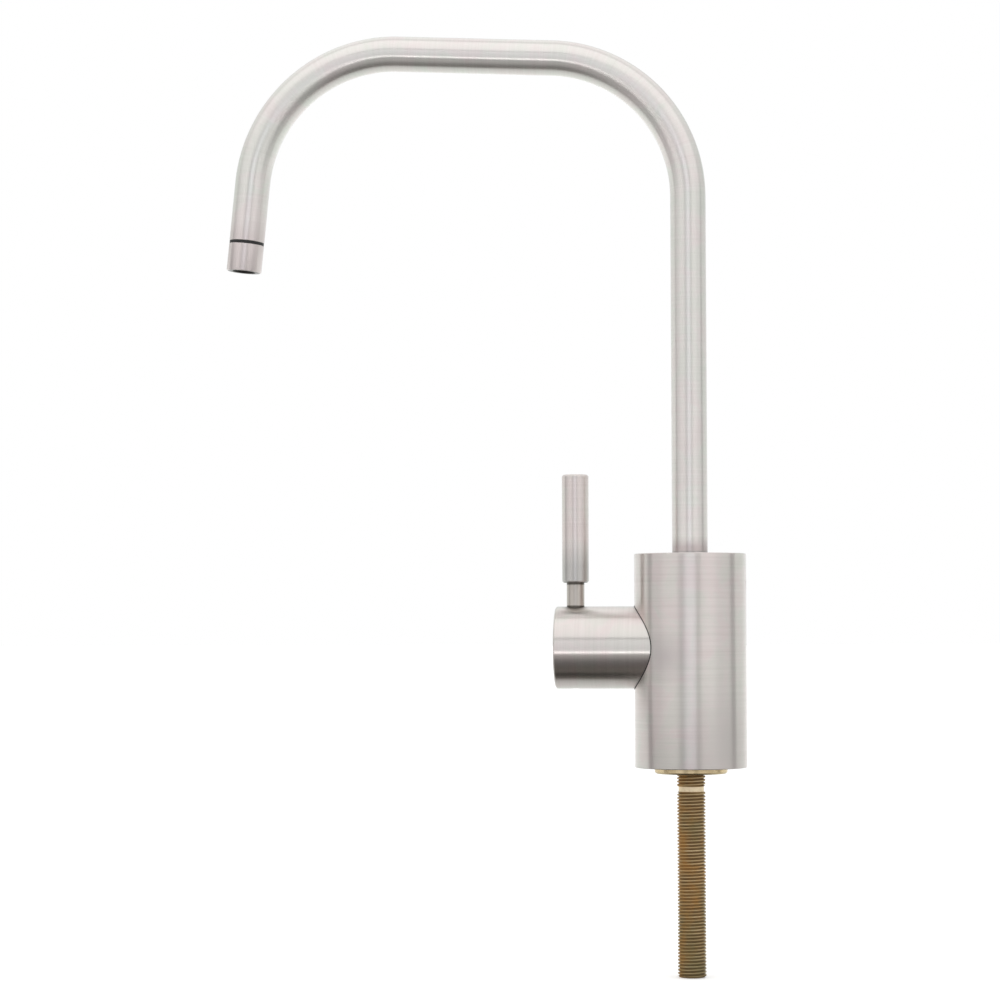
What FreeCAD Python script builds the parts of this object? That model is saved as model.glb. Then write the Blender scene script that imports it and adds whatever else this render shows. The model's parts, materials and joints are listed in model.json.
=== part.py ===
import FreeCAD, Part
import math
import os

# Single lever cold water faucet with a swivelling tube spout and a quarter-turn ceramic valve.
# Lengths are millimetres. The origin is on the body's axis at the underside of the brass flange,
# where the faucet stands on its deck. +Z is up and the handle barrel points along -X.

# Deck flange and threaded shank
FLANGE_D = 28.2
FLANGE_T = 2.3
FLANGE_BEVEL = 0.6
REGISTER_D = 18.0
REGISTER_H = 1.0
SHANK_D = 11.0
SHANK_L = 78.3
SHANK_BORE = 6.4
SHANK_END_BEVEL = 0.6
SHOULDER_STEP = 0.3
STUB_L = 10.0
SHANK_RING_W = 1.8
SHANK_RING_T = 1.6
RELIEF_DEPTH = 0.6
RELIEF_TOP = 5.0
RELIEF_W = 2.0

# Body shell
BODY_D = 43.4
BODY_H = 82.7
SHELL_WALL = 2.4
SHELL_TOP_T = 4.0
EDGE_BREAK = 0.25
BARREL_HEIGHT = 46.4

# Handle barrel, distances measured outwards from the body's axis
HUB_D = 32.0
HUB_START = 11.5
HUB_END = 52.2
HUB_END_T = 4.3
HUB_SOLID_T = 15.8
HUB_WALL = 3.2
HUB_GAP = 0.4
HUB_EDGE = 0.5

# Lever
LEVER_OUT = 44.6
STEM_D = 6.9
STEM_L = 9.3
STEM_SEAT = 1.5
STEM_THREAD_D = 5.0
STEM_FOOT_L = 6.6
STEM_TOP_L = 8.0
DRILL_POINT = 0.4
GRIP_D = 10.4
GRIP_L = 42.1
GRIP_EDGE = 0.6

# Spout tube, its path measured along the centreline
TUBE_D = 13.8
TUBE_WALL = 1.0
RISER_L = 139.5
BEND_R = 56.0
BEND_ANGLE = 87.15
CROWN_L = 61.0
OUTLET_LEG = 35.4

# Outlet end
TIP_L = 10.8
GASKET_T = 1.2
GASKET_INSET = 0.1
OUTLET_BORE = 8.9
TIP_EDGE = 0.35
NIPPLE_L = 7.0
STRAIGHTENER_D = 9.5
STRAIGHTENER_WALL = 0.6
VANE_T = 0.5
VANE_COUNT = 6
SCREEN_T = 0.5
SCREEN_PITCH = 1.6
SCREEN_GAP = 1.1

# Spout socket, spigot and swivel bearing
BUSHING_L = 5.0
BUSHING_D = 17.5
TUBE_TO_BUSHING = 0.5
SHOULDER_L = 4.6
NOSE_D = 11.2
SPIGOT_BORE = 6.0
PLUG_L = 8.0
THRUST_T = 0.5
SOCKET_ROOF = 1.6
SOCKET_FLOOR_GAP = 1.0
NOSE_RING_SECTION = 1.5
NOSE_RING_PITCH = 4.0
RETAINING_GROOVE_DEPTH = 1.2
SPOUT_SCREW_D = 4.0
SPOUT_SCREW_DOG_D = 2.5
SPOUT_SCREW_DOG_L = 1.4
SCREW_RECESS = 2.2
HEX_KEY = 2.0
HEX_DEPTH = 2.0

# Valve block
WAIST_D = 21.0
FOOT_H = 12.0
HEAD_CLEAR = 2.2
PORT_BOSS_D = 22.0
PORT_FACE = 12.0
INLET_DRILL = 5.0
INLET_OFFSET = 5.5
INLET_CHAMBER_D = 10.0
INLET_CHAMBER_H = 3.0
OUTLET_DRILL = 6.0
OUTLET_OFFSET = 5.0

# Valve cartridge, distances measured outwards from the floor of its pocket
CARTRIDGE_D = 15.0
SLEEVE_WALL = 0.6
SEAL_T = 2.0
SEAL_BORE = 7.0
DISC_D = 13.7
DISC_T = 3.5
DISC_PORT_IN = 2.0
DISC_PORT_OUT = 5.6
DISC_PORT_ANGLE = 74.0
SPINDLE_FOOT_L = 3.0
TANG_W = 3.0
TANG_H = 1.2
SPINDLE_WASHER_T = 0.8
WINDOW_W = 8.0
WINDOW_L = 3.8
HEX_FLANGE_AF = 19.0
HEX_FLANGE_L = 5.0
NECK_L = 15.0
SPINDLE_D = 8.0
SPINDLE_RING_SECTION = 1.2
SPINDLE_RING_STEPS = (5.0, 10.0)
CLIP_T = 0.8
CLIP_D = 11.2
CLIP_GROOVE_D = 6.6
CLIP_MOUTH = 4.6
SPLINE_D = 7.8
SPLINE_DEPTH = 0.5
SPLINE_TEETH = 20
SPLINE_L = 9.0
CARTRIDGE_RING_SECTION = 1.5

# Barrel guide, spline insert and grub screw
GUIDE_L = 5.0
GUIDE_FROM_FLANGE = 3.0
INSERT_D = 11.0
INSERT_L = 10.5
HUB_SCREW_D = 4.0
HUB_SCREW_L = 7.0

# Clearances
FIT = 0.05
SLIDE = 0.02
TOP_GAP = 0.15

# Places worked out from the sizes above
BODY_BASE = FLANGE_T
BODY_TOP = BODY_BASE + BODY_H
BARREL_Z = BODY_BASE + BARREL_HEIGHT
STUB_R = SHANK_D / 2 - SHOULDER_STEP
CAVITY_R = BODY_D / 2 - SHELL_WALL
CAVITY_TOP = BODY_TOP - SHELL_TOP_T
BUSHING_BASE = CAVITY_TOP - BUSHING_L
TUBE_FOOT = BUSHING_BASE - TUBE_TO_BUSHING
SHOULDER_BASE = TUBE_FOOT - SHOULDER_L
SHELF_Z = SHOULDER_BASE - THRUST_T
SOCKET_FLOOR = BARREL_Z + CARTRIDGE_D / 2 + SOCKET_ROOF
NOSE_BASE = SOCKET_FLOOR + SOCKET_FLOOR_GAP
NOSE_L = SHOULDER_BASE - NOSE_BASE
GROOVE_Z = (TUBE_FOOT + SHOULDER_BASE) / 2
FIXED_DISC_AT = SEAL_T
MOVING_DISC_AT = FIXED_DISC_AT + DISC_T + SLIDE
SPINDLE_FOOT_AT = MOVING_DISC_AT + DISC_T
SPINDLE_WASHER_AT = SPINDLE_FOOT_AT + SPINDLE_FOOT_L
NECK_AT = SPINDLE_WASHER_AT + SPINDLE_WASHER_T + SLIDE
NECK_START = PORT_FACE + HEX_FLANGE_L
NECK_END = NECK_START + NECK_L
CLIP_AT = NECK_END + 2 * SLIDE
HUB_FLOOR = HUB_END - HUB_SOLID_T
SPLINE_START = HUB_FLOOR - SLIDE
HUB_BORE_R = HUB_D / 2 - HUB_WALL
STEM_SEAT_H = HUB_D / 2 - STEM_SEAT
GRIP_BASE_H = HUB_D / 2 + STEM_L
TUBE_BORE_R = TUBE_D / 2 - TUBE_WALL


def turned(profile):
    """Solid turned about +Z from an outline of (radius, height) points."""
    points = [FreeCAD.Vector(r, 0, h) for r, h in profile]
    outline = Part.makePolygon(points + points[:1])
    return Part.Face(outline).revolve(FreeCAD.Vector(0, 0, 0), FreeCAD.Vector(0, 0, 1), 360)


def rod(radius, low, high, break_low=0.0, break_high=0.0):
    """Round bar along +Z with an optional bevel on either end."""
    profile = [(0, low), (radius - break_low, low)]
    if break_low:
        profile.append((radius, low + break_low))
    if break_high:
        profile.append((radius, high - break_high))
    profile += [(radius - break_high, high), (0, high)]
    return turned(profile)


def ring(outer, inner, low, high):
    """Plain ring along +Z."""
    return turned([(inner, low), (outer, low), (outer, high), (inner, high)])


def seal_ring(section, inner, height):
    """O-ring round +Z, standing on its inner radius, its round section drawn with eight flats."""
    corner = section / 2 / math.cos(math.pi / 8)
    angles = [math.pi / 8 * (2 * k + 1) for k in range(8)]
    return turned([(inner + section / 2 + corner * math.cos(a), height + corner * math.sin(a)) for a in angles])


def prism(corners, low, high):
    """Straight prism along +Z on a closed outline of (x, y) corners."""
    points = [FreeCAD.Vector(x, y, low) for x, y in corners]
    return Part.Face(Part.makePolygon(points + points[:1])).extrude(FreeCAD.Vector(0, 0, high - low))


def hexagon(across_flats, low, high):
    """Hexagonal bar along +Z."""
    radius = across_flats / math.sqrt(3)
    corners = [(radius * math.cos(math.radians(60 * k)), radius * math.sin(math.radians(60 * k)))
               for k in range(6)]
    return prism(corners, low, high)


def sector(inner, outer, half_angle, direction, low, high):
    """Sector of a ring along +Z, centred on a direction given in degrees."""
    outline = []
    for radius, sign in ((outer, 1), (inner, -1)):
        angles = [math.radians(direction + sign * part * half_angle) for part in (-1, 0, 1)]
        at = [FreeCAD.Vector(radius * math.cos(a), radius * math.sin(a), low) for a in angles]
        outline.append((at, Part.Arc(*at).toShape()))
    (outer_at, outer_arc), (inner_at, inner_arc) = outline
    sides = [Part.makeLine(outer_at[2], inner_at[0]), Part.makeLine(inner_at[2], outer_at[0])]
    wire = Part.Wire([outer_arc, sides[0], inner_arc, sides[1]])
    return Part.Face(wire).extrude(FreeCAD.Vector(0, 0, high - low))


def grub_screw(diameter, length, dog_d=0.0, dog_l=0.0):
    """Headless screw along +Z with its point at 0 and a hexagon socket in its outer end."""
    bevel = diameter / 10
    screw = rod(diameter / 2 - FIT, dog_l, dog_l + length, bevel, bevel)
    if dog_l:
        screw = screw.fuse(rod(dog_d / 2, 0, dog_l + bevel))
    top = dog_l + length
    return screw.cut(hexagon(HEX_KEY, top - HEX_DEPTH, top + 1))


def on_barrel(shape):
    """Lays a piece made along +Z on the barrel's axis, so that its height runs out along -X."""
    shape.rotate(FreeCAD.Vector(0, 0, 0), FreeCAD.Vector(0, 1, 0), -90)
    shape.translate(FreeCAD.Vector(0, 0, BARREL_Z))
    return shape


def at_lever(shape):
    """Stands a piece made along +Z on the lever's axis, its height counted from the barrel's axis."""
    shape.translate(FreeCAD.Vector(-LEVER_OUT, 0, BARREL_Z))
    return shape


def straight(at, heading, length):
    """Straight run in the XZ plane. Returns its edge and its end."""
    end = (at[0] + length * math.cos(heading), at[1] + length * math.sin(heading))
    edge = Part.LineSegment(FreeCAD.Vector(at[0], 0, at[1]), FreeCAD.Vector(end[0], 0, end[1]))
    return edge.toShape(), end


def left_bend(at, heading, radius, turn):
    """Bend to the left in the XZ plane. Returns its edge, its end and the new heading."""
    centre = (at[0] - radius * math.sin(heading), at[1] + radius * math.cos(heading))
    points = []
    for part in (0, 0.5, 1):
        angle = heading + part * turn
        x = centre[0] + radius * math.sin(angle)
        z = centre[1] - radius * math.cos(angle)
        points.append(FreeCAD.Vector(x, 0, z))
    return Part.Arc(*points).toShape(), (points[2].x, points[2].z), heading + turn


def spout_path():
    """Centreline of the spout tube. Returns its wire, its end and its last heading."""
    up = math.radians(90)
    turn = math.radians(BEND_ANGLE)
    riser, at = straight((0, TUBE_FOOT), up, BODY_TOP - TUBE_FOOT + RISER_L)
    near_bend, at, heading = left_bend(at, up, BEND_R, turn)
    crown, at = straight(at, heading, CROWN_L)
    far_bend, at, heading = left_bend(at, heading, BEND_R, turn)
    leg, at = straight(at, heading, OUTLET_LEG - TIP_L - GASKET_T)
    return Part.Wire([riser, near_bend, crown, far_bend, leg]), at, heading


def at_outlet(shape):
    """Moves a piece made along +Z to the tube's end, so that its height runs on along the tube."""
    _, end, heading = spout_path()
    shape.rotate(FreeCAD.Vector(0, 0, 0), FreeCAD.Vector(0, 1, 0), 90 - math.degrees(heading))
    shape.translate(FreeCAD.Vector(end[0], 0, end[1]))
    return shape


def body_shell():
    """Cylindrical cover with an open foot, a hole for the tube, a side bore and a screw hole."""
    shell = rod(BODY_D / 2, BODY_BASE, BODY_TOP, EDGE_BREAK, EDGE_BREAK)
    shell = shell.cut(rod(CAVITY_R, BODY_BASE - 1, CAVITY_TOP))
    shell = shell.cut(rod(TUBE_D / 2 + TOP_GAP, CAVITY_TOP - 1, BODY_TOP + 1))
    shell = shell.cut(on_barrel(rod(HUB_D / 2 + HUB_GAP, 0, BODY_D)))
    screw_hole = rod(SPOUT_SCREW_D / 2 + TOP_GAP, 0, BODY_D)
    screw_hole.rotate(FreeCAD.Vector(0, 0, 0), FreeCAD.Vector(0, 1, 0), 90)
    screw_hole.translate(FreeCAD.Vector(0, 0, GROOVE_Z))
    return shell.cut(screw_hole)


def valve_block():
    """Brass block: foot, waist and head, with the valve pocket, the drillings and the spout socket."""
    outer = CAVITY_R - FIT
    waist = WAIST_D / 2
    foot_top = BODY_BASE + FOOT_H
    head_base = BARREL_Z + HUB_D / 2 + HEAD_CLEAR
    block = turned([(0, BODY_BASE), (outer, BODY_BASE), (outer, foot_top), (waist, foot_top + outer - waist),
                    (waist, head_base), (outer, head_base), (outer, CAVITY_TOP), (0, CAVITY_TOP)])
    block = block.cut(on_barrel(rod(HUB_D / 2 + HEAD_CLEAR / 2, WAIST_D / 2, BODY_D)))
    block = block.fuse(on_barrel(rod(PORT_BOSS_D / 2, 0, PORT_FACE, 0, EDGE_BREAK)))
    pocket = rod(CARTRIDGE_D / 2 + FIT, 0, PORT_FACE + 1)
    ring_seat = rod(CARTRIDGE_D / 2 + CARTRIDGE_RING_SECTION, PORT_FACE - CARTRIDGE_RING_SECTION, PORT_FACE + 1)
    block = block.cut(on_barrel(pocket.fuse(ring_seat)))
    return block.cut(water_ways()).cut(spout_socket()).cut(spout_screw_hole())


def water_ways():
    """Drillings from the shank to the valve pocket and from the pocket to the spout socket."""
    stub_top = BODY_BASE + STUB_L
    stub = rod(STUB_R + FIT, BODY_BASE - 1, stub_top + SHANK_RING_T)
    register = rod(REGISTER_D / 2 + FIT, BODY_BASE - 1, BODY_BASE + REGISTER_H + FIT)
    chamber_top = stub_top + SHANK_RING_T + INLET_CHAMBER_H
    chamber = rod(INLET_CHAMBER_D / 2, BODY_BASE, chamber_top)
    rise = rod(INLET_DRILL / 2, stub_top, BARREL_Z)
    rise.translate(FreeCAD.Vector(INLET_OFFSET, 0, 0))
    seat_hole = on_barrel(rod(INLET_DRILL / 2, -INLET_OFFSET, 1))
    outlet = rod(OUTLET_DRILL / 2, BARREL_Z, SOCKET_FLOOR + 1)
    outlet.translate(FreeCAD.Vector(-OUTLET_OFFSET, 0, 0))
    return stub.multiFuse([register, chamber, rise, seat_hole, outlet])


def spout_socket():
    """Stepped bore in the head for the spigot's nose, its shoulder and the swivel bushing."""
    nose = rod(NOSE_D / 2 + FIT, SOCKET_FLOOR, SHELF_Z + 1)
    shoulder = rod(TUBE_D / 2 + FIT, SHELF_Z, BUSHING_BASE + 1)
    bushing = rod(BUSHING_D / 2 + FIT, BUSHING_BASE, CAVITY_TOP + 1)
    return nose.multiFuse([shoulder, bushing])


def spout_screw_hole():
    """Threaded side hole in the back of the head, drawn at its full thread diameter."""
    hole = rod(SPOUT_SCREW_D / 2, 0, BODY_D)
    hole.rotate(FreeCAD.Vector(0, 0, 0), FreeCAD.Vector(0, 1, 0), 90)
    hole.translate(FreeCAD.Vector(0, 0, GROOVE_Z))
    return hole


def base_flange():
    """Brass flange with a bevelled lower edge, a countersunk bore for the shank's shoulder and a register."""
    outer = FLANGE_D / 2
    bore = STUB_R + FIT
    register = REGISTER_D / 2
    top = FLANGE_T + REGISTER_H
    return turned([(bore, SHOULDER_STEP), (bore + SHOULDER_STEP, 0), (outer - FLANGE_BEVEL, 0),
                   (outer, FLANGE_BEVEL), (outer, FLANGE_T), (register, FLANGE_T), (register, top), (bore, top)])


def threaded_shank():
    """Brass pipe with a stub for the block, a cone shoulder under the flange and one relief groove."""
    outer = SHANK_D / 2
    bore = SHANK_BORE / 2
    relief = outer - RELIEF_DEPTH
    relief_low = -RELIEF_TOP - RELIEF_W
    stub_top = BODY_BASE + STUB_L
    return turned([(bore, -SHANK_L), (outer - SHANK_END_BEVEL, -SHANK_L), (outer, -SHANK_L + SHANK_END_BEVEL),
                   (outer, relief_low), (relief, relief_low), (relief, -RELIEF_TOP), (outer, -RELIEF_TOP),
                   (outer, 0), (STUB_R, SHOULDER_STEP), (STUB_R, stub_top), (bore, stub_top)])


def shank_o_ring():
    """Seal squeezed between the shank's stub and the top of its hole."""
    low = BODY_BASE + STUB_L
    return ring(STUB_R, STUB_R - SHANK_RING_W, low, low + SHANK_RING_T)


def cartridge_housing():
    """Housing with a windowed sleeve for the discs, a hexagon flange and a neck for the spindle."""
    outer = CARTRIDGE_D / 2
    sleeve_bore = outer - SLEEVE_WALL
    spindle_bore = SPINDLE_D / 2 + FIT
    start = SEAL_T / 2
    housing = turned([(sleeve_bore, start), (outer, start), (outer, NECK_END - EDGE_BREAK),
                      (outer - EDGE_BREAK, NECK_END), (spindle_bore, NECK_END), (spindle_bore, NECK_AT),
                      (sleeve_bore, NECK_AT)])
    flange = hexagon(HEX_FLANGE_AF, PORT_FACE, NECK_START).cut(rod(outer, PORT_FACE - 1, NECK_START + 1))
    window_at = MOVING_DISC_AT + DISC_T / 2
    window = Part.makeBox(CARTRIDGE_D + 2, WINDOW_W, WINDOW_L,
                          FreeCAD.Vector(-outer - 1, -WINDOW_W / 2, window_at - WINDOW_L / 2))
    return on_barrel(housing.fuse(flange).cut(window))


def cartridge_o_ring():
    """Seal round the housing in the mouth of the valve pocket."""
    height = PORT_FACE - CARTRIDGE_RING_SECTION / 2
    return on_barrel(seal_ring(CARTRIDGE_RING_SECTION - FIT, CARTRIDGE_D / 2, height))


def disc_seal():
    """Rubber ring that presses the discs together from the floor of the pocket."""
    outer = CARTRIDGE_D / 2 - SLEEVE_WALL - FIT
    return on_barrel(ring(outer, SEAL_BORE / 2, 0, SEAL_T))


def fixed_disc():
    """Ceramic disc with two ports, one towards each side."""
    low, high = FIXED_DISC_AT, FIXED_DISC_AT + DISC_T
    disc = rod(DISC_D / 2, low, high)
    for direction in (90, 270):
        port = sector(DISC_PORT_IN, DISC_PORT_OUT, DISC_PORT_ANGLE / 2, direction, low - 1, high + 1)
        disc = disc.cut(port)
    return on_barrel(disc)


def moving_disc():
    """Ceramic disc with two notches through its rim, closed at a quarter turn from the ports."""
    low, high = MOVING_DISC_AT, MOVING_DISC_AT + DISC_T
    disc = rod(DISC_D / 2, low, high)
    for direction in (0, 180):
        notch = sector(DISC_PORT_IN, DISC_D, DISC_PORT_ANGLE / 2, direction, low - 1, high - TANG_H - EDGE_BREAK)
        disc = disc.cut(notch)
    slot = Part.makeBox(DISC_D, TANG_W, TANG_H + 1,
                        FreeCAD.Vector(-DISC_D / 2, -TANG_W / 2, high - TANG_H))
    return on_barrel(disc.cut(slot))


def spindle():
    """Spindle with a tang for the disc, a foot, two seal grooves, a clip groove and a spline."""
    stem = SPINDLE_D / 2
    groove = stem - SPINDLE_RING_SECTION - FIT
    profile = [(0, SPINDLE_FOOT_AT), (DISC_D / 2 - 2 * FIT, SPINDLE_FOOT_AT),
               (DISC_D / 2 - 2 * FIT, SPINDLE_WASHER_AT), (stem, SPINDLE_WASHER_AT)]
    for centre in spindle_ring_places():
        half = SPINDLE_RING_SECTION / 2 + FIT
        profile += [(stem, centre - half), (groove, centre - half), (groove, centre + half), (stem, centre + half)]
    clip_low, clip_high = CLIP_AT - SLIDE, CLIP_AT + CLIP_T + SLIDE
    clip_groove = CLIP_GROOVE_D / 2 - FIT
    profile += [(stem, clip_low), (clip_groove, clip_low), (clip_groove, clip_high), (stem, clip_high),
                (stem, SPLINE_START), (0, SPLINE_START)]
    body = turned(profile)
    tang = Part.makeBox(DISC_D - 2 * TANG_H, TANG_W - 2 * FIT, TANG_H - FIT + 1,
                        FreeCAD.Vector(TANG_H - DISC_D / 2, FIT - TANG_W / 2, SPINDLE_FOOT_AT + FIT - TANG_H))
    spline = spline_bar(SPLINE_D / 2 - FIT, SPLINE_START - 1, SPLINE_START + SPLINE_L)
    return on_barrel(body.multiFuse([tang, spline]))


def spline_bar(radius, low, high):
    """Bar with saw-like teeth all round, such as a broached spline."""
    corners = []
    for k in range(2 * SPLINE_TEETH):
        reach = radius if k % 2 == 0 else radius - SPLINE_DEPTH
        angle = math.pi * k / SPLINE_TEETH
        corners.append((reach * math.cos(angle), reach * math.sin(angle)))
    return prism(corners, low, high)


def spindle_ring_places():
    """Distances of the spindle's seal rings from the body's axis."""
    return [NECK_START + step for step in SPINDLE_RING_STEPS]


def spindle_o_rings():
    """Two seals on the spindle, as separate solids."""
    inner = SPINDLE_D / 2 - SPINDLE_RING_SECTION
    return Part.makeCompound([on_barrel(seal_ring(SPINDLE_RING_SECTION, inner, place))
                              for place in spindle_ring_places()])


def spindle_washer():
    """Slide washer between the spindle's foot and the housing's shoulder."""
    outer = CARTRIDGE_D / 2 - SLEEVE_WALL - FIT
    low = SPINDLE_WASHER_AT + SLIDE
    return on_barrel(ring(outer, SPINDLE_D / 2 + FIT, low, low + SPINDLE_WASHER_T))


def spindle_clip():
    """Open snap ring in the spindle's outer groove."""
    clip = ring(CLIP_D / 2, CLIP_GROOVE_D / 2, CLIP_AT, CLIP_AT + CLIP_T)
    mouth = Part.makeBox(CLIP_D, CLIP_MOUTH, CLIP_T + 2, FreeCAD.Vector(0, -CLIP_MOUTH / 2, CLIP_AT - 1))
    return on_barrel(clip.cut(mouth))


def hub_guide_ring():
    """Plastic ring on the housing's neck that carries the barrel."""
    low = NECK_START + GUIDE_FROM_FLANGE
    return on_barrel(ring(HUB_BORE_R - FIT, CARTRIDGE_D / 2 + SLIDE, low, low + GUIDE_L))


def handle_hub():
    """Barrel with a closed outer end, a wide bore for the valve and seats for the lever and screw."""
    outer = HUB_D / 2
    hub = turned([(HUB_BORE_R, HUB_START), (outer - EDGE_BREAK, HUB_START), (outer, HUB_START + EDGE_BREAK),
                  (outer, HUB_END - HUB_EDGE), (outer - HUB_EDGE, HUB_END), (0, HUB_END),
                  (0, HUB_FLOOR), (HUB_BORE_R, HUB_FLOOR)])
    hub = hub.cut(rod(INSERT_D / 2 + FIT, HUB_FLOOR - 1, HUB_END - HUB_END_T))
    hub = on_barrel(hub)
    hub = hub.cut(at_lever(rod(STEM_THREAD_D / 2, STEM_SEAT_H - STEM_FOOT_L - DRILL_POINT, outer)))
    hub = hub.cut(at_lever(rod(STEM_D / 2 + TOP_GAP, STEM_SEAT_H, outer + 1)))
    return hub.cut(at_lever(rod(HUB_SCREW_D / 2, -outer - 1, 0)))


def spline_insert():
    """Plastic sleeve in the barrel whose toothed bore fits the spindle's spline."""
    sleeve = rod(INSERT_D / 2, HUB_FLOOR, HUB_FLOOR + INSERT_L)
    bore = spline_bar(SPLINE_D / 2, HUB_FLOOR - 1, SPLINE_START + SPLINE_L + SLIDE)
    return on_barrel(sleeve.cut(bore))


def hub_set_screw():
    """Grub screw in the underside of the barrel, its point on the spline insert."""
    screw = grub_screw(HUB_SCREW_D, HUB_SCREW_L)
    screw.rotate(FreeCAD.Vector(0, 0, 0), FreeCAD.Vector(1, 0, 0), 180)
    screw.translate(FreeCAD.Vector(0, 0, -INSERT_D / 2 - FIT))
    return at_lever(screw)


def lever_stem():
    """Thin rod with a threaded foot for the barrel and a threaded top for the grip."""
    stem = STEM_D / 2
    thread = STEM_THREAD_D / 2 - FIT
    return at_lever(turned([(0, STEM_SEAT_H - STEM_FOOT_L), (thread, STEM_SEAT_H - STEM_FOOT_L),
                            (thread, STEM_SEAT_H), (stem, STEM_SEAT_H), (stem, GRIP_BASE_H),
                            (thread, GRIP_BASE_H), (thread, GRIP_BASE_H + STEM_TOP_L),
                            (0, GRIP_BASE_H + STEM_TOP_L)]))


def lever_grip():
    """Round grip bar, bored from below for the stem."""
    grip = rod(GRIP_D / 2, GRIP_BASE_H, GRIP_BASE_H + GRIP_L, GRIP_EDGE, GRIP_EDGE)
    return at_lever(grip.cut(rod(STEM_THREAD_D / 2, GRIP_BASE_H - 1, GRIP_BASE_H + STEM_TOP_L + DRILL_POINT)))


def swivel_bushing():
    """Plastic sleeve round the tube in the top of the block."""
    return ring(BUSHING_D / 2, TUBE_D / 2 + FIT, BUSHING_BASE, CAVITY_TOP)


def thrust_washer():
    """Slide washer under the spigot's shoulder."""
    return ring(TUBE_D / 2 - FIT, NOSE_D / 2 + 2 * FIT, SHELF_Z, SHELF_Z + THRUST_T - SLIDE)


def spout_spigot():
    """Brass spigot: a plug in the tube's foot, a grooved shoulder and a nose with two seal grooves."""
    bore = SPIGOT_BORE / 2
    nose = NOSE_D / 2
    shoulder = TUBE_D / 2 - 2 * FIT
    seal_groove = nose - NOSE_RING_SECTION - FIT
    profile = [(bore, NOSE_BASE), (nose, NOSE_BASE)]
    for centre in nose_ring_places():
        half = NOSE_RING_SECTION / 2 + FIT
        profile += [(nose, centre - half), (seal_groove, centre - half),
                    (seal_groove, centre + half), (nose, centre + half)]
    groove_r = TUBE_D / 2 - RETAINING_GROOVE_DEPTH
    half = SPOUT_SCREW_DOG_D / 2 + 2 * FIT
    plug = TUBE_BORE_R - FIT
    profile += [(nose, SHOULDER_BASE), (shoulder, SHOULDER_BASE), (shoulder, GROOVE_Z - half),
                (groove_r, GROOVE_Z - half), (groove_r, GROOVE_Z + half), (shoulder, GROOVE_Z + half),
                (shoulder, TUBE_FOOT), (plug, TUBE_FOOT), (plug, TUBE_FOOT + PLUG_L), (bore, TUBE_FOOT + PLUG_L)]
    return turned(profile)


def nose_ring_places():
    """Heights of the seal rings, spread evenly over as much of the spigot's nose as there is."""
    count = max(1, int(NOSE_L / NOSE_RING_PITCH) - 1)
    step = NOSE_L / (count + 1)
    return [NOSE_BASE + step * (k + 1) for k in range(count)]


def spigot_o_rings():
    """Seals on the spigot's nose, as separate solids."""
    inner = NOSE_D / 2 - NOSE_RING_SECTION
    return Part.makeCompound([seal_ring(NOSE_RING_SECTION, inner, place) for place in nose_ring_places()])


def spout_screw():
    """Grub screw in the back of the body whose dog point runs in the spigot's groove."""
    start = TUBE_D / 2 - RETAINING_GROOVE_DEPTH + 2 * FIT
    length = BODY_D / 2 - SCREW_RECESS - start - SPOUT_SCREW_DOG_L
    screw = grub_screw(SPOUT_SCREW_D, length, SPOUT_SCREW_DOG_D, SPOUT_SCREW_DOG_L)
    screw.rotate(FreeCAD.Vector(0, 0, 0), FreeCAD.Vector(0, 1, 0), 90)
    screw.translate(FreeCAD.Vector(start, 0, GROOVE_Z))
    return screw


def spout_tube():
    """Bent tube: a long riser, two equal bends with a straight crown between them, and the outlet leg."""
    path, _, _ = spout_path()
    walls = []
    for radius in (TUBE_D / 2, TUBE_BORE_R):
        section = Part.Wire(Part.makeCircle(radius, FreeCAD.Vector(0, 0, TUBE_FOOT), FreeCAD.Vector(0, 0, 1)))
        walls.append(path.makePipeShell([section], True, False))
    return walls[0].cut(walls[1])


def tip_gasket():
    """Thin black ring between the tube and the outlet sleeve."""
    return at_outlet(ring(TUBE_D / 2 - GASKET_INSET, TUBE_BORE_R, 0, GASKET_T))


def tip_sleeve():
    """Outlet sleeve with a nipple that screws into the tube and a ledge for the flow straightener."""
    outer = TUBE_D / 2
    nipple = TUBE_BORE_R - FIT
    mouth = OUTLET_BORE / 2
    seat = STRAIGHTENER_D / 2 + FIT
    end = GASKET_T + TIP_L
    return at_outlet(turned([(mouth, end), (outer - TIP_EDGE, end), (outer, end - TIP_EDGE),
                             (outer, GASKET_T), (nipple, GASKET_T), (nipple, -NIPPLE_L),
                             (seat, -NIPPLE_L), (seat, 0), (mouth, 0)]))


def flow_straightener():
    """Ring with radial vanes that calms the water above the outlet."""
    outer = STRAIGHTENER_D / 2
    inner = outer - STRAIGHTENER_WALL
    core = rod(2 * STRAIGHTENER_WALL, -NIPPLE_L, 0)
    vanes = []
    for k in range(VANE_COUNT):
        vane = Part.makeBox(inner + STRAIGHTENER_WALL / 2, VANE_T, NIPPLE_L,
                            FreeCAD.Vector(0, -VANE_T / 2, -NIPPLE_L))
        vane.rotate(FreeCAD.Vector(0, 0, 0), FreeCAD.Vector(0, 0, 1), 360 * k / VANE_COUNT)
        vanes.append(vane)
    return at_outlet(ring(outer, inner, -NIPPLE_L, 0).multiFuse([core] + vanes))


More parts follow.
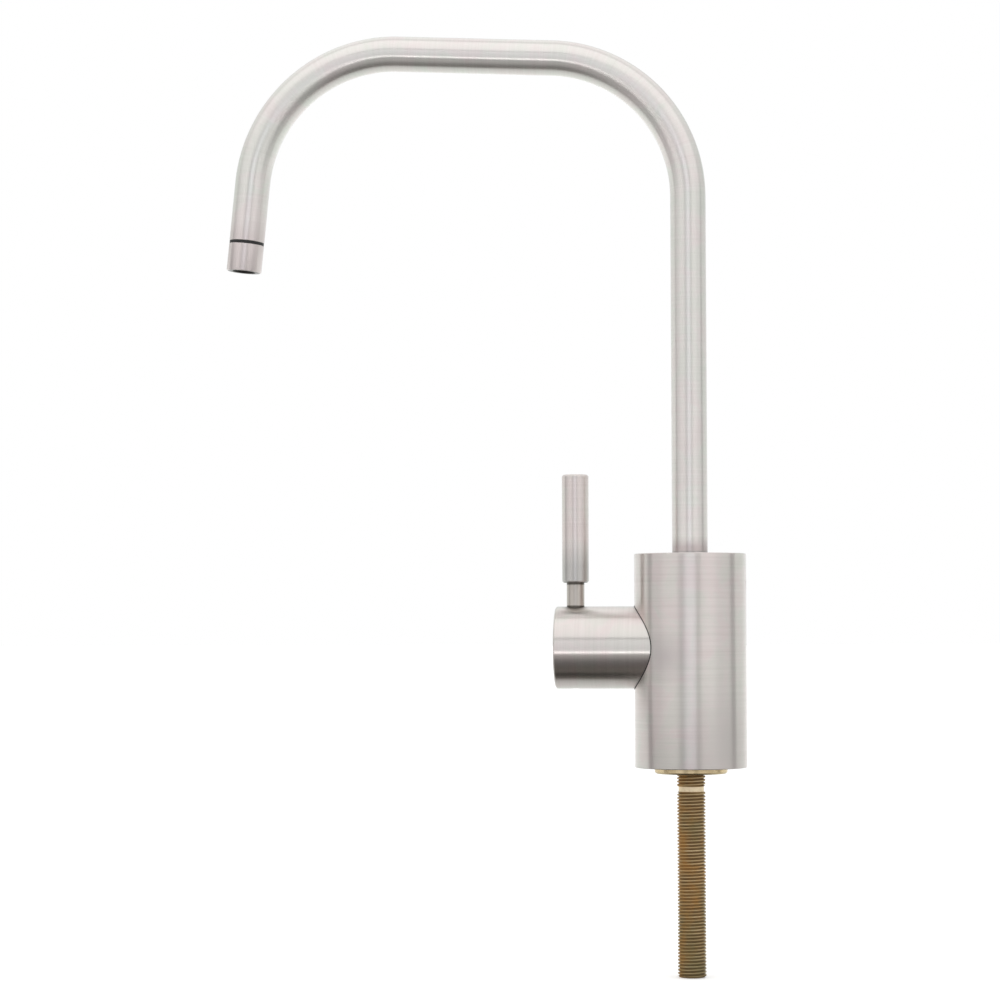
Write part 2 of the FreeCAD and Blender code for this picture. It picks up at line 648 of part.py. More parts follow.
def outlet_screen():
    """Flat mesh disc on top of the flow straightener."""
    radius = TUBE_BORE_R - FIT
    low = -NIPPLE_L - SCREEN_T
    disc = rod(radius, low, -NIPPLE_L)
    reach = radius - STRAIGHTENER_WALL
    steps = int(reach / SCREEN_PITCH)
    holes = []
    for row in range(-steps, steps + 1):
        for column in range(-steps, steps + 1):
            x, y = row * SCREEN_PITCH, column * SCREEN_PITCH
            if math.hypot(x, y) + SCREEN_GAP < reach:
                corner = FreeCAD.Vector(x - SCREEN_GAP / 2, y - SCREEN_GAP / 2, low - 1)
                holes.append(Part.makeBox(SCREEN_GAP, SCREEN_GAP, SCREEN_T + 2, corner))
    return at_outlet(disc.cut(Part.makeCompound(holes)))


PIECES = [body_shell, valve_block, base_flange, threaded_shank, shank_o_ring, cartridge_housing,
          cartridge_o_ring, disc_seal, fixed_disc, spindle_washer, hub_guide_ring, swivel_bushing,
          thrust_washer, spout_screw, spout_tube, spout_spigot, spigot_o_rings, tip_gasket, tip_sleeve,
          flow_straightener, outlet_screen, handle_hub, lever_stem, lever_grip, hub_set_screw,
          spline_insert, spindle, moving_disc, spindle_o_rings, spindle_clip]


def main():
    os.makedirs("parts", exist_ok=True)
    for make in PIECES:
        shape = make()
        shape.exportStep("parts/" + make.__name__ + ".step")
        box = shape.BoundBox
        print(make.__name__, len(shape.Solids), shape.isValid(), round(shape.Volume, 1),
              [round(v, 2) for v in (box.XMin, box.YMin, box.ZMin, box.XMax, box.YMax, box.ZMax)])


main()
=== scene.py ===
# %% [markdown]
# # A slim faucet for cold drinking water
# A brushed steel cylinder stands on a brass flange and a long threaded shank. A barrel with a
# lever lies across it and works the valve, and a thin bent tube carries the water to a short
# outlet sleeve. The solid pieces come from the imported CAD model. This script photographs them:
# it sets the camera and the studio, gives every piece its finish, and makes new surfaces where
# the finish has to follow the shape: the bent tube, the sleeve and the thread. It adds one thin
# piece, the dark seam round the barrel.

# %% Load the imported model
import json
import math

import bpy
import numpy as np
from mathutils import Matrix, Vector


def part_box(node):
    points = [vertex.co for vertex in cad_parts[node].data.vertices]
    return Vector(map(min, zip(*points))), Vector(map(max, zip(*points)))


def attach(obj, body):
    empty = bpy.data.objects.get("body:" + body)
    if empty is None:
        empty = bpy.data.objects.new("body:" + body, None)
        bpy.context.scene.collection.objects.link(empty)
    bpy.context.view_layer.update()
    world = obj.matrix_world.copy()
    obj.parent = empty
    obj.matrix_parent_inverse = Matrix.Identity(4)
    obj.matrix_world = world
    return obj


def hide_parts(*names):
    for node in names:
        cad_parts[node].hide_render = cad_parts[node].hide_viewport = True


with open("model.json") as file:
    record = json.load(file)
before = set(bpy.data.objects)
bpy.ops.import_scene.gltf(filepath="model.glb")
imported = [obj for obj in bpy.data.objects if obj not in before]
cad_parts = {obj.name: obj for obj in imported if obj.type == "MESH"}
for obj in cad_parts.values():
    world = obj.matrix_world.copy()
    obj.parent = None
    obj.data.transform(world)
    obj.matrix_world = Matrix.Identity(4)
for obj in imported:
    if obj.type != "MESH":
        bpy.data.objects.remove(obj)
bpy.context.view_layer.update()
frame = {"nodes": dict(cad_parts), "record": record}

# %% [markdown]
# ## Camera
# The photograph was taken with a longish lens from a little over a metre away, about level
# with the barrel and turned a few degrees, so the front of the body and the underside of the
# arch both show. The place, angles and focal length were worked out from about sixty outline
# points of the faucet, for a square picture whose centre is the lens axis. So the lens needs
# no shift, and the camera is simply placed.

# %% Place the camera
IMAGE_PX = 1000
FOCAL_PX = 2871.5
SENSOR_MM = 36.0
CAMERA_AT = (0.048095, -1.116901, 0.056678)
YAW, PITCH, ROLL = (math.radians(angle) for angle in (-6.2468, 2.5391, -0.1600))


def camera_matrix():
    """Places the camera by yaw from +Y towards +X, then pitch up, then roll about the view."""
    ahead = Vector((math.sin(YAW) * math.cos(PITCH), math.cos(YAW) * math.cos(PITCH), math.sin(PITCH)))
    level = Vector((math.cos(YAW), -math.sin(YAW), 0.0))
    upright = level.cross(ahead)
    right = math.cos(ROLL) * level + math.sin(ROLL) * upright
    up = right.cross(ahead)
    turned = Matrix((right, up, -ahead)).transposed().to_4x4()
    return Matrix.Translation(CAMERA_AT) @ turned


camera = bpy.data.objects.new("camera", bpy.data.cameras.new("camera"))
camera.data.sensor_width = SENSOR_MM
camera.data.lens = SENSOR_MM * FOCAL_PX / IMAGE_PX
camera.data.clip_start = 0.01
camera.matrix_world = camera_matrix()
bpy.context.collection.objects.link(camera)
bpy.context.scene.camera = camera
bpy.context.scene.view_settings.view_transform = "Standard"
print("lens", round(camera.data.lens, 2), "mm")

# %% [markdown]
# ## Helpers for materials
# A material could be clicked together in the node editor. Written as code, each node needs
# its kind, its settings, the values of its sockets and the links that reach it. One function
# does that for every kind of node. Colours are written as the hex values that a picture
# shows, and one function turns them into the linear light that the renderer adds up. Three
# short groups of nodes come back in several places, so each has a function too.


# %% Nodes and colours
def linear(hex_colour):
    """Linear red, green, blue and alpha of an sRGB hex colour such as #C0FFEE."""
    parts = np.array([int(hex_colour[k:k + 2], 16) for k in (1, 3, 5)]) / 255.0
    low = parts / 12.92
    high = ((parts + 0.055) / 1.055) ** 2.4
    return (*(float(v) for v in np.where(parts <= 0.04045, low, high)), 1.0)


def add(tree, kind, settings=None, values=None, links=None, stops=None):
    """Adds a node with its settings, socket values, incoming links and, on a ramp, its stops."""
    node = tree.nodes.new(kind)
    for name, value in (settings or {}).items():
        setattr(node, name, value)
    for key, value in (values or {}).items():
        node.inputs[key].default_value = value
    for key, output in (links or {}).items():
        tree.links.new(output, node.inputs[key])
    if stops:
        bar = node.color_ramp.elements
        while len(bar) > 1:
            bar.remove(bar[-1])
        for k, (place, colour) in enumerate(stops):
            stop = bar[0] if k == 0 else bar.new(place)
            stop.position = place
            stop.color = colour
    return node


def start_material(name):
    """A new material with an empty tree, and that tree."""
    material = bpy.data.materials.new(name)
    material.use_nodes = True
    material.node_tree.nodes.clear()
    return material, material.node_tree


def grey(level):
    """A neutral linear colour."""
    return (level, level, level, 1.0)


print("helpers ready, mid grey is", round(linear("#808080")[0], 3))


# %% Groups of nodes
def sent_on(tree):
    """The light path, and a value that is 1 for a ray that was reflected or let through."""
    ray = add(tree, "ShaderNodeLightPath")
    either = add(tree, "ShaderNodeMath", {"operation": "MAXIMUM"},
                 links={0: ray.outputs["Is Glossy Ray"], 1: ray.outputs["Is Transmission Ray"]})
    return ray, either.outputs[0]


def from_axis(tree, place):
    """The distance of a place from the vertical axis, and the node that has its X, Y and Z."""
    flat = add(tree, "ShaderNodeMapping", values={"Scale": (1.0, 1.0, 0.0)}, links={"Vector": place})
    distance = add(tree, "ShaderNodeVectorMath", {"operation": "LENGTH"}, links={0: flat.outputs[0]})
    return distance.outputs["Value"], add(tree, "ShaderNodeSeparateXYZ", links={0: place})


def by_distance(tree, coordinate, middle, none_at, full_at, curve="LINEAR"):
    """0 where a coordinate is none_at away from the middle, 1 at full_at, and between a slope."""
    way = add(tree, "ShaderNodeMath", {"operation": "SUBTRACT"}, {1: middle}, {0: coordinate})
    away = add(tree, "ShaderNodeMath", {"operation": "ABSOLUTE"}, links={0: way.outputs[0]})
    share = add(tree, "ShaderNodeMapRange", {"interpolation_type": curve},
                {"From Min": none_at, "From Max": full_at}, {"Value": away.outputs[0]})
    return share.outputs[0]


print("three groups ready")

# %% [markdown]
# ## The studio around the faucet
# Polished or brushed metal has hardly a colour of its own: what the eye reads as its shape is
# the room in it. The room is a large soft light from the front to overhead, a dimmer front
# side where the camera stands, and a white backdrop. It could be built from lamps and sheets.
# Painting it into the world by direction is smoother and quicker: one ramp goes round the
# faucet's barrel, from the front over the top to the back, and the other goes round the
# upright body, and fades out towards the zenith, where upright bands would all meet. A black
# gap in the first ramp draws the fine dark line above the barrel's middle. The sides are
# faintly green and the middle faintly blue, as daylight and tinted screens make them. The
# camera sees plain white. Metal sees a pale backdrop, a little darker than white, which keeps
# its outline clear of the picture's ground.

# %% Light by direction
BARREL_RAMP = (          # degrees up from the camera's side over the top to the back, and light
    (-180, 0.94), (-90, 0.12), (-45, 0.26), (-30, 0.38), (-17, 0.60), (-15, 0.72), (-11.5, 0.84),
    (-8, 0.77), (-3, 0.84), (12, 0.93), (24.8, 1.03), (25.4, 0.0), (27.2, 0.0), (27.8, 1.06),
    (42, 1.09), (60, 1.11), (95.0, 1.18), (96.0, 0.68), (100, 0.80), (108, 0.95), (128, 1.05),
    (145, 1.02), (180, 0.94))
CLEAR, GREENISH, BLUISH = (1.0, 1.0, 1.0), (0.955, 1.0, 0.975), (0.965, 0.985, 1.03)
BODY_RAMP = (            # degrees to the side of the camera, left negative, share of light, tint
    (-180, 0.96, CLEAR), (-165, 0.80, GREENISH), (-125, 0.70, GREENISH), (-98, 0.70, GREENISH),
    (-93, 0.64, CLEAR), (-80, 0.74, CLEAR), (-60, 0.94, CLEAR), (-35, 1.02, CLEAR), (-25, 0.98, CLEAR),
    (-20, 0.68, CLEAR), (-12, 0.60, BLUISH), (-8, 1.00, BLUISH), (0, 1.18, BLUISH),
    (12, 1.14, BLUISH), (16, 0.60, CLEAR), (22, 0.66, GREENISH), (27, 1.03, CLEAR), (45, 1.03, CLEAR),
    (62, 0.95, CLEAR), (77, 0.84, CLEAR), (90, 0.68, GREENISH), (110, 0.58, GREENISH),
    (145, 0.62, GREENISH), (165, 0.76, GREENISH), (180, 0.96, CLEAR))


def ramp_stops(rows, low=-180, high=180):
    """Turns rows of place from low to high, light and perhaps a tint into ramp stops."""
    stops = []
    for place, level, *tint in rows:
        share = tint[0] if tint else CLEAR
        stops.append(((place - low) / (high - low), (*(level * part for part in share), 1.0)))
    return stops


print("world ramps:", len(BARREL_RAMP), "and", len(BODY_RAMP), "stops")

# %% World
BANDS_END = (0.25, 0.75)  # height of a direction where the upright bands start to fade, and are gone
BACKDROP_FROM = 0.70     # how far towards +Y a direction points before it meets the backdrop
BACKDROP_IN_METAL = (0.78, 0.815, 0.81, 1.0)

world = bpy.data.worlds.new("studio")
world.use_nodes = True
bpy.context.scene.world = world
tree = world.node_tree
tree.nodes.clear()
way = add(tree, "ShaderNodeTexCoord")
parts = add(tree, "ShaderNodeSeparateXYZ", links={0: way.outputs["Generated"]})
front = add(tree, "ShaderNodeMath", {"operation": "MULTIPLY"}, {1: -1.0}, {0: parts.outputs["Y"]})
shares = []
for axis, stops in (("Z", BARREL_RAMP), ("X", BODY_RAMP)):
    angle = add(tree, "ShaderNodeMath", {"operation": "ARCTAN2"},
                links={0: parts.outputs[axis], 1: front.outputs[0]})
    turn = add(tree, "ShaderNodeMapRange", values={"From Min": -math.pi, "From Max": math.pi},
               links={"Value": angle.outputs[0]})
    shares.append(add(tree, "ShaderNodeValToRGB", links={0: turn.outputs[0]}, stops=ramp_stops(stops)))
steep = add(tree, "ShaderNodeMath", {"operation": "ABSOLUTE"}, links={0: parts.outputs["Z"]})
bands = add(tree, "ShaderNodeMapRange", values={"From Min": BANDS_END[1], "From Max": BANDS_END[0]},
            links={"Value": steep.outputs[0]})
room = add(tree, "ShaderNodeMix", {"data_type": "RGBA", "blend_type": "MULTIPLY"},
           links={"Factor": bands.outputs[0], "A": shares[0].outputs["Color"],
                  "B": shares[1].outputs["Color"]})
ray, mirrored = sent_on(tree)
behind = add(tree, "ShaderNodeMapRange", values={"From Min": BACKDROP_FROM, "From Max": 1.0},
             links={"Value": parts.outputs["Y"]})
backdrop = add(tree, "ShaderNodeMath", {"operation": "MULTIPLY"},
               links={0: mirrored, 1: behind.outputs[0]})
in_metal = add(tree, "ShaderNodeMix", {"data_type": "RGBA"}, {"B": BACKDROP_IN_METAL},
               {"Factor": backdrop.outputs[0], "A": room.outputs["Result"]})
seen = add(tree, "ShaderNodeMix", {"data_type": "RGBA"}, {"B": grey(1.0)},
           {"Factor": ray.outputs["Is Camera Ray"], "A": in_metal.outputs["Result"]})
light = add(tree, "ShaderNodeBackground", links={"Color": seen.outputs["Result"]})
add(tree, "ShaderNodeOutputWorld", links={"Surface": light.outputs[0]})
print("world nodes:", len(tree.nodes))

# %% [markdown]
# ## Floor and dark card
# The faucet stands on a white floor that runs on into the backdrop. Its colour is white paint,
# which takes the faucet's shadow, and a little extra light for the camera and for metal lifts
# it to the white of the backdrop. The undersides in the photograph are nearly black, so
# something dark probably lay in front of the faucet. A charcoal card lies there. Only
# reflections see it, and it grows lighter towards both edges, so it ends softly.

# %% Sheets of the studio
UNREFLECTED = ("visible_camera", "visible_diffuse", "visible_shadow", "visible_transmission")


def stage_sheet(name, corners, material, only_reflected=True):
    """A sheet with four corners, that may be seen by reflections only."""
    mesh = bpy.data.meshes.new(name)
    mesh.from_pydata(corners, [], [(0, 1, 2, 3)])
    mesh.materials.append(material)
    sheet = bpy.data.objects.new(name, mesh)
    bpy.context.collection.objects.link(sheet)
    if only_reflected:
        for sight in UNREFLECTED:
            setattr(sheet, sight, False)


def level_corners(left, right, near, far, height):
    """Four corners of a level rectangle, going round so that it faces up."""
    return [(left, near, height), (right, near, height), (right, far, height), (left, far, height)]


print("a hidden sheet isn't seen by", len(UNREFLECTED), "kinds of ray")

# %% Floor
SHANK_END = -0.0783
FLOOR_GAP = 0.0002
FLOOR_Z = SHANK_END - FLOOR_GAP
FLOOR_HALF = 20.0
TABLE_EDGE = -0.45       # the floor is a table top that ends this far in front
FLOOR_PAINT = "#F4F4F4"
FLOOR_GLOW = 0.30

material, tree = start_material("matt_white_paint")
paint = add(tree, "ShaderNodeBsdfDiffuse", values={"Color": linear(FLOOR_PAINT)})
glow = add(tree, "ShaderNodeEmission", values={"Color": grey(1.0), "Strength": FLOOR_GLOW})
both = add(tree, "ShaderNodeAddShader", links={0: paint.outputs[0], 1: glow.outputs[0]})
ray, mirrored = sent_on(tree)
direct = add(tree, "ShaderNodeMath", {"operation": "MAXIMUM"},
             links={0: ray.outputs["Is Camera Ray"], 1: mirrored})
mixed = add(tree, "ShaderNodeMixShader",
            links={0: direct.outputs[0], 1: paint.outputs[0], 2: both.outputs[0]})
add(tree, "ShaderNodeOutputMaterial", links={"Surface": mixed.outputs[0]})
stage_sheet("floor", level_corners(-FLOOR_HALF, FLOOR_HALF, TABLE_EDGE, FLOOR_HALF, FLOOR_Z),
            material, only_reflected=False)
print("floor at", FLOOR_Z, "m")

# %% Dark card
CARD_HALF = 1.2
CARD_BACK = 1.50
CARD_LIFT = 0.0004
WARM, NEUTRAL, COOL = (1.0, 0.94, 0.86), (1.0, 0.98, 0.96), (0.96, 1.0, 0.975)
CARD_LIGHT = (           # place from front to back, light and tint
    (-0.45, 0.52, NEUTRAL), (-0.36, 0.36, NEUTRAL), (-0.32, 0.31, NEUTRAL), (-0.245, 0.31, NEUTRAL),
    (-0.20, 0.19, NEUTRAL), (-0.157, 0.145, NEUTRAL), (-0.127, 0.12, NEUTRAL), (-0.08, 0.115, WARM),
    (-0.046, 0.135, WARM), (-0.041, 0.025, WARM), (-0.02, 0.045, WARM), (0.003, 0.055, WARM),
    (0.009, 0.24, WARM), (0.022, 0.46, COOL), (0.050, 0.59, COOL), (0.09, 0.67, COOL),
    (0.17, 0.77, COOL), (0.40, 0.88, COOL), (1.50, 1.00, COOL))
CARD_MIDDLE = -0.09      # below the crown of the spout
CARD_DARK_TO, CARD_LIGHT_FROM = 0.11, 0.30
CARD_SIDES = 0.56

material, tree = start_material("charcoal_card")
place = add(tree, "ShaderNodeTexCoord")
parts = add(tree, "ShaderNodeSeparateXYZ", links={0: place.outputs["Object"]})
along = add(tree, "ShaderNodeMapRange", values={"From Min": TABLE_EDGE, "From Max": CARD_BACK},
            links={"Value": parts.outputs["Y"]})
shade = add(tree, "ShaderNodeValToRGB", links={0: along.outputs[0]},
            stops=ramp_stops(CARD_LIGHT, TABLE_EDGE, CARD_BACK))
sides = by_distance(tree, parts.outputs["X"], CARD_MIDDLE, CARD_DARK_TO, CARD_LIGHT_FROM, "SMOOTHSTEP")
lifted = add(tree, "ShaderNodeMix", {"data_type": "RGBA", "blend_type": "LIGHTEN"},
             {"B": grey(CARD_SIDES)}, {"Factor": sides, "A": shade.outputs["Color"]})
glow = add(tree, "ShaderNodeEmission", links={"Color": lifted.outputs["Result"]})
add(tree, "ShaderNodeOutputMaterial", links={"Surface": glow.outputs[0]})
card_corners = level_corners(-CARD_HALF, CARD_HALF, TABLE_EDGE, CARD_BACK, FLOOR_Z + CARD_LIFT)
stage_sheet("dark_card", card_corners, material)
print("card from", TABLE_EDGE, "to", CARD_BACK, "m")

# %% [markdown]
# ## A strip light below the table's edge
# A fine bright line runs along the barrel and under the spout's crown, just above the dark
# part. Only a narrow light low in front can do that. A lamp would also light the floor and
# cast shadows, so this one is a glowing sheet that only reflections see.

# %% Strip light
STRIP_AT = (-1.34, -0.270)       # how far towards the camera, and its height
STRIP_HALF = (2.0, 0.12)
STRIP_LIGHT = 3.2


def glowing(name, strength):
    """A material that does nothing but glow."""
    material, tree = start_material(name)
    glow = add(tree, "ShaderNodeEmission", values={"Strength": strength})
    add(tree, "ShaderNodeOutputMaterial", links={"Surface": glow.outputs[0]})
    return material


strip_corners = level_corners(-STRIP_HALF[0], STRIP_HALF[0], STRIP_AT[0] - STRIP_HALF[1],
                              STRIP_AT[0] + STRIP_HALF[1], STRIP_AT[1])
stage_sheet("strip_light", strip_corners, glowing("strip_light_glow", STRIP_LIGHT))
print("strip light", STRIP_AT)

# %% [markdown]
# ## Two dark flags
# Each upright cylinder in the photograph has a thin dark line just inside its left and right
# edge. Photographers stand black flags beside a shiny object for that: without them its edges
# melt into the white. The flags here are two leaning strips, seen only by reflections.

# %% Flags
FLAG_FOOT = -0.07
FLAG_LIGHT = 0.44        # the room's light falls on the cloth
FLAG_HALF = 6.5          # degrees, seen from the faucet's axis
FLAGS = (("left_flag", 0.32, 0.24, -85, -89), ("right_flag", 0.22, 0.26, 101, 90))


def flag_corners(away, top, foot_angle, head_angle):
    """Four corners of a strip, each at its angle from the camera's side and its way from the axis."""
    rows = ((foot_angle - FLAG_HALF, FLAG_FOOT), (foot_angle + FLAG_HALF, FLAG_FOOT),
            (head_angle + FLAG_HALF, top), (head_angle - FLAG_HALF, top))
    return [(away * math.sin(math.radians(angle)), -away * math.cos(math.radians(angle)), height)
            for angle, height in rows]


cloth = glowing("black_flag_cloth", FLAG_LIGHT)
for name, *placing in FLAGS:
    stage_sheet(name, flag_corners(*placing), cloth)
print("flags", [row[0] for row in FLAGS])

# %% [markdown]
# ## Brushed stainless steel
# The body, barrel, lever and tube are austenitic stainless steel. A turning piece was held
# against an abrasive belt, which leaves fine scratches that run round it. Such scratches blur
# a reflection across themselves and leave it sharp along them, so every light becomes a
# stripe that runs the length of the part. The shader has this as anisotropy: the tangent runs
# round the part, and a quarter turn of the anisotropy puts the wide blur along the axis. The
# scratches are about 0.1 mm apart, too fine for the picture, so the noise that draws them is
# 1.1 mm along the part in its coarsest octave and 70 mm round it, with finer octaves inside. A
# second noise makes the smudges of handling in the roughness, and a third a breath of pink and
# green, as the oxide film has. A mark is a place with a colour of its own: two darker patches
# on the body, a grip that darkens towards its foot, a darker stem, and painted shade in the
# stem's joints with the grip and the barrel and on the barrel round the stem's foot.

# %% Tones, scratches and marks
CASING_TONES = ("#EDE6E3", "#E3DCD8")
CASING_BLUR, ROD_BLUR = (0.29, 0.34), (0.33, 0.38)
CASING_GRAIN, ROD_GRAIN = 0.98, 0.88
QUARTER_TURN = 0.25
NOISE_MOSTLY = (0.3, 0.7)    # the values of a noise mostly lie between these
SCRATCH_PITCH = 0.0011
SCRATCH_LENGTH = 0.070
SCRATCH_DEPTH, SCRATCH_BUMP = 0.00003, 0.03
SCRATCH_WEAR = 0.16          # what the scratches add to the smudges in the roughness
WEAR_RANGE = (0.35, 0.80)
SMUDGE_SIZE = 0.022
FILM_SIZE = 0.011
FILM_TINTS = ((0.38, (0.955, 0.985, 0.960, 1.0)), (0.50, (0.99, 0.985, 0.98, 1.0)),
              (0.62, (1.0, 0.960, 0.968, 1.0)))
HARD_EDGE = 0.00002

GRIP_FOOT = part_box("lever_grip")[0][2]
LEVER_X = (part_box("lever_grip")[0][0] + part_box("lever_grip")[1][0]) / 2
BARREL_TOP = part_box("handle_hub")[1][2]
# two darker patches of colour on the body's front: one low on the right, one beside the barrel
BODY_DARK_PATCHES = [((1.0, 1.0, 0.6), (0.0144, -0.0163, 0.0140), 0.0160, 0.0150, "#DAD4D0"),
                ((1.0, 1.0, 1.0), (-0.0089, -0.0198, 0.0456), 0.0110, 0.0100, "#D7CFCD")]
# the grip's colour darkens towards its foot over the barrel
GRIP_DARKER_FOOT = ((0.0, 0.0, 1.0), (0.0, 0.0, GRIP_FOOT), 0.0165, 0.0100, "#CCC9C6")
# the stem is a darker colour than the grip, everywhere below the grip's foot
DARKER_STEM = ((0.0, 0.0, 1.0), (0.0, 0.0, 0.0), GRIP_FOOT, HARD_EDGE, "#CCC5BE")
# painted shade: a dark line on the stem just under the grip
GRIP_JOINT_SHADE = ((0.0, 0.0, 1.0), (0.0, 0.0, GRIP_FOOT - 0.0003), 0.0007, 0.0004, "#6E6963")
# painted shade: a dark ring on the stem where it enters the barrel
STEM_FOOT_SHADE = ((0.0, 0.0, 1.0), (0.0, 0.0, BARREL_TOP - 0.0003), 0.0009, 0.0004, "#6E6963")
FOOT_SHADE = ((1.0, 0.6, 1.0), (LEVER_X, 0.0, BARREL_TOP), 0.0058, 0.0024, "#A09B97")
print("the grip starts", round((GRIP_FOOT - BARREL_TOP) * 1000, 2), "mm above the barrel")


# %% Brushed steel
def one_sided_metal(tree, colour, rough, relief, tangent, grain):
    """Metal that blurs a reflection across its scratches, the more one-sided the more grain."""
    metal = add(tree, "ShaderNodeBsdfPrincipled",
                values={"Metallic": 1.0, "Anisotropic": grain, "Anisotropic Rotation": QUARTER_TURN},
                links={"Base Color": colour.outputs["Result"], "Roughness": rough.outputs[0],
                       "Normal": relief.outputs[0], "Tangent": tangent.outputs[0]})
    add(tree, "ShaderNodeOutputMaterial", links={"Surface": metal.outputs[0]})


def brushed_steel(name, axis, tones, blur, grain, marks=(), attribute=None):
    """Steel brushed round an axis. A bent piece gives the attribute with its straightened place.

    The tones are the lightest and darkest colour, the blur is the lowest and highest roughness,
    and the grain is how one-sided the blur is. A mark is a stretch, a centre, a reach, the width
    of its soft edge and a colour. It lies where the way from its centre, times its stretch, is
    shorter than its reach.
    """
    material, tree = start_material(name)
    if attribute:
        place = add(tree, "ShaderNodeAttribute", {"attribute_name": attribute}).outputs["Vector"]
        tangent = add(tree, "ShaderNodeTangent", {"direction_type": "UV_MAP", "uv_map": "around"})
    else:
        place = add(tree, "ShaderNodeTexCoord").outputs["Object"]
        tangent = add(tree, "ShaderNodeTangent", {"direction_type": "RADIAL", "axis": axis})
    scale = [1 / SCRATCH_LENGTH] * 3
    scale["XYZ".index(axis)] = 1 / SCRATCH_PITCH
    stretch = add(tree, "ShaderNodeMapping", values={"Scale": scale}, links={"Vector": place})
    scratch = add(tree, "ShaderNodeTexNoise",
                  values={"Scale": 1.0, "Detail": 5.0, "Roughness": 0.78},
                  links={"Vector": stretch.outputs[0]})
    smudge = add(tree, "ShaderNodeTexNoise",
                 values={"Scale": 1 / SMUDGE_SIZE, "Detail": 3.0, "Roughness": 0.55, "Distortion": 0.4},
                 links={"Vector": place})
    tint = add(tree, "ShaderNodeMapRange",
               values={"From Min": NOISE_MOSTLY[0], "From Max": NOISE_MOSTLY[1]},
               links={"Value": scratch.outputs["Fac"]})
    colour = add(tree, "ShaderNodeMix", {"data_type": "RGBA"},
                 {"A": linear(tones[1]), "B": linear(tones[0])}, {"Factor": tint.outputs[0]})
    film = add(tree, "ShaderNodeTexNoise",
               values={"Scale": 1 / FILM_SIZE, "Detail": 4.0, "Roughness": 0.6, "Distortion": 0.6},
               links={"Vector": place})
    breath = add(tree, "ShaderNodeValToRGB", links={0: film.outputs["Fac"]}, stops=FILM_TINTS)
    colour = add(tree, "ShaderNodeMix", {"data_type": "RGBA", "blend_type": "MULTIPLY"}, {"Factor": 1.0},
                 {"A": colour.outputs["Result"], "B": breath.outputs["Color"]})
    # each mark mixes in its own colour; several of the marks are painted shade
    for stretch_by, centre, reach, soft, mark_hex in marks:
        offset = [-part * way for part, way in zip(stretch_by, centre)]
        measured = add(tree, "ShaderNodeMapping", values={"Location": offset, "Scale": stretch_by},
                       links={"Vector": place})
        distance = add(tree, "ShaderNodeVectorMath", {"operation": "LENGTH"},
                       links={0: measured.outputs[0]})
        inside = add(tree, "ShaderNodeMapRange", values={"From Min": reach, "From Max": reach - soft},
                     links={"Value": distance.outputs["Value"]})
        colour = add(tree, "ShaderNodeMix", {"data_type": "RGBA"}, {"B": linear(mark_hex)},
                     {"Factor": inside.outputs[0], "A": colour.outputs["Result"]})
    wear = add(tree, "ShaderNodeMath", {"operation": "MULTIPLY_ADD"}, {1: SCRATCH_WEAR},
               {0: scratch.outputs["Fac"], 2: smudge.outputs["Fac"]})
    rough = add(tree, "ShaderNodeMapRange",
                values={"From Min": WEAR_RANGE[0], "From Max": WEAR_RANGE[1],
                        "To Min": blur[0], "To Max": blur[1]},
                links={"Value": wear.outputs[0]})
    relief = add(tree, "ShaderNodeBump", values={"Strength": SCRATCH_BUMP, "Distance": SCRATCH_DEPTH},
                 links={"Height": scratch.outputs["Fac"]})
    one_sided_metal(tree, colour, rough, relief, tangent, grain)
    return material


finishes = {
    "brushed_casing": brushed_steel(
        "belt_brushed_stainless_body", "Z", CASING_TONES, CASING_BLUR, CASING_GRAIN, BODY_DARK_PATCHES),
    "brushed_barrel": brushed_steel(
        "belt_brushed_stainless_barrel", "X", CASING_TONES, CASING_BLUR, CASING_GRAIN, [FOOT_SHADE]),
    "brushed_lever": brushed_steel(
        "belt_brushed_stainless_lever", "Z", CASING_TONES, ROD_BLUR, ROD_GRAIN,
        [GRIP_DARKER_FOOT, DARKER_STEM, GRIP_JOINT_SHADE, STEM_FOOT_SHADE])}
print("steel finishes:", len(finishes))

# %% [markdown]
# ## Turned and tarnished brass
# The flange is free-cutting brass, turned on a lathe and left bright, so it has fine rings
# round its axis and a warm, slightly dull shine. The pieces inside are the same metal, less
# faded, because neither air nor fingers reach them. The threaded shank has lain open: its
# brass has gone brown, its crests are rubbed lighter, and patches of orange tarnish lie mostly
# in its middle, with olive ones nearer its ends. A picture of tarnish could be wrapped round
# it. Noise by place, and the distance from the axis for crest and root, work at any zoom.

# %% Turned brass finishes
TURNING_PITCH = 0.00035
TURNING_DEPTH, TURNING_BUMP = 0.00003, 0.35
DULLING_SIZE = 0.006
RING_SHARE = 0.3             # what the rings add to the clouds in the tarnish
TARNISH_RANGE = (0.45, 0.85)
BRASS_SPREAD = (-0.06, 0.08)     # of the roughness, from the bright places to the dull


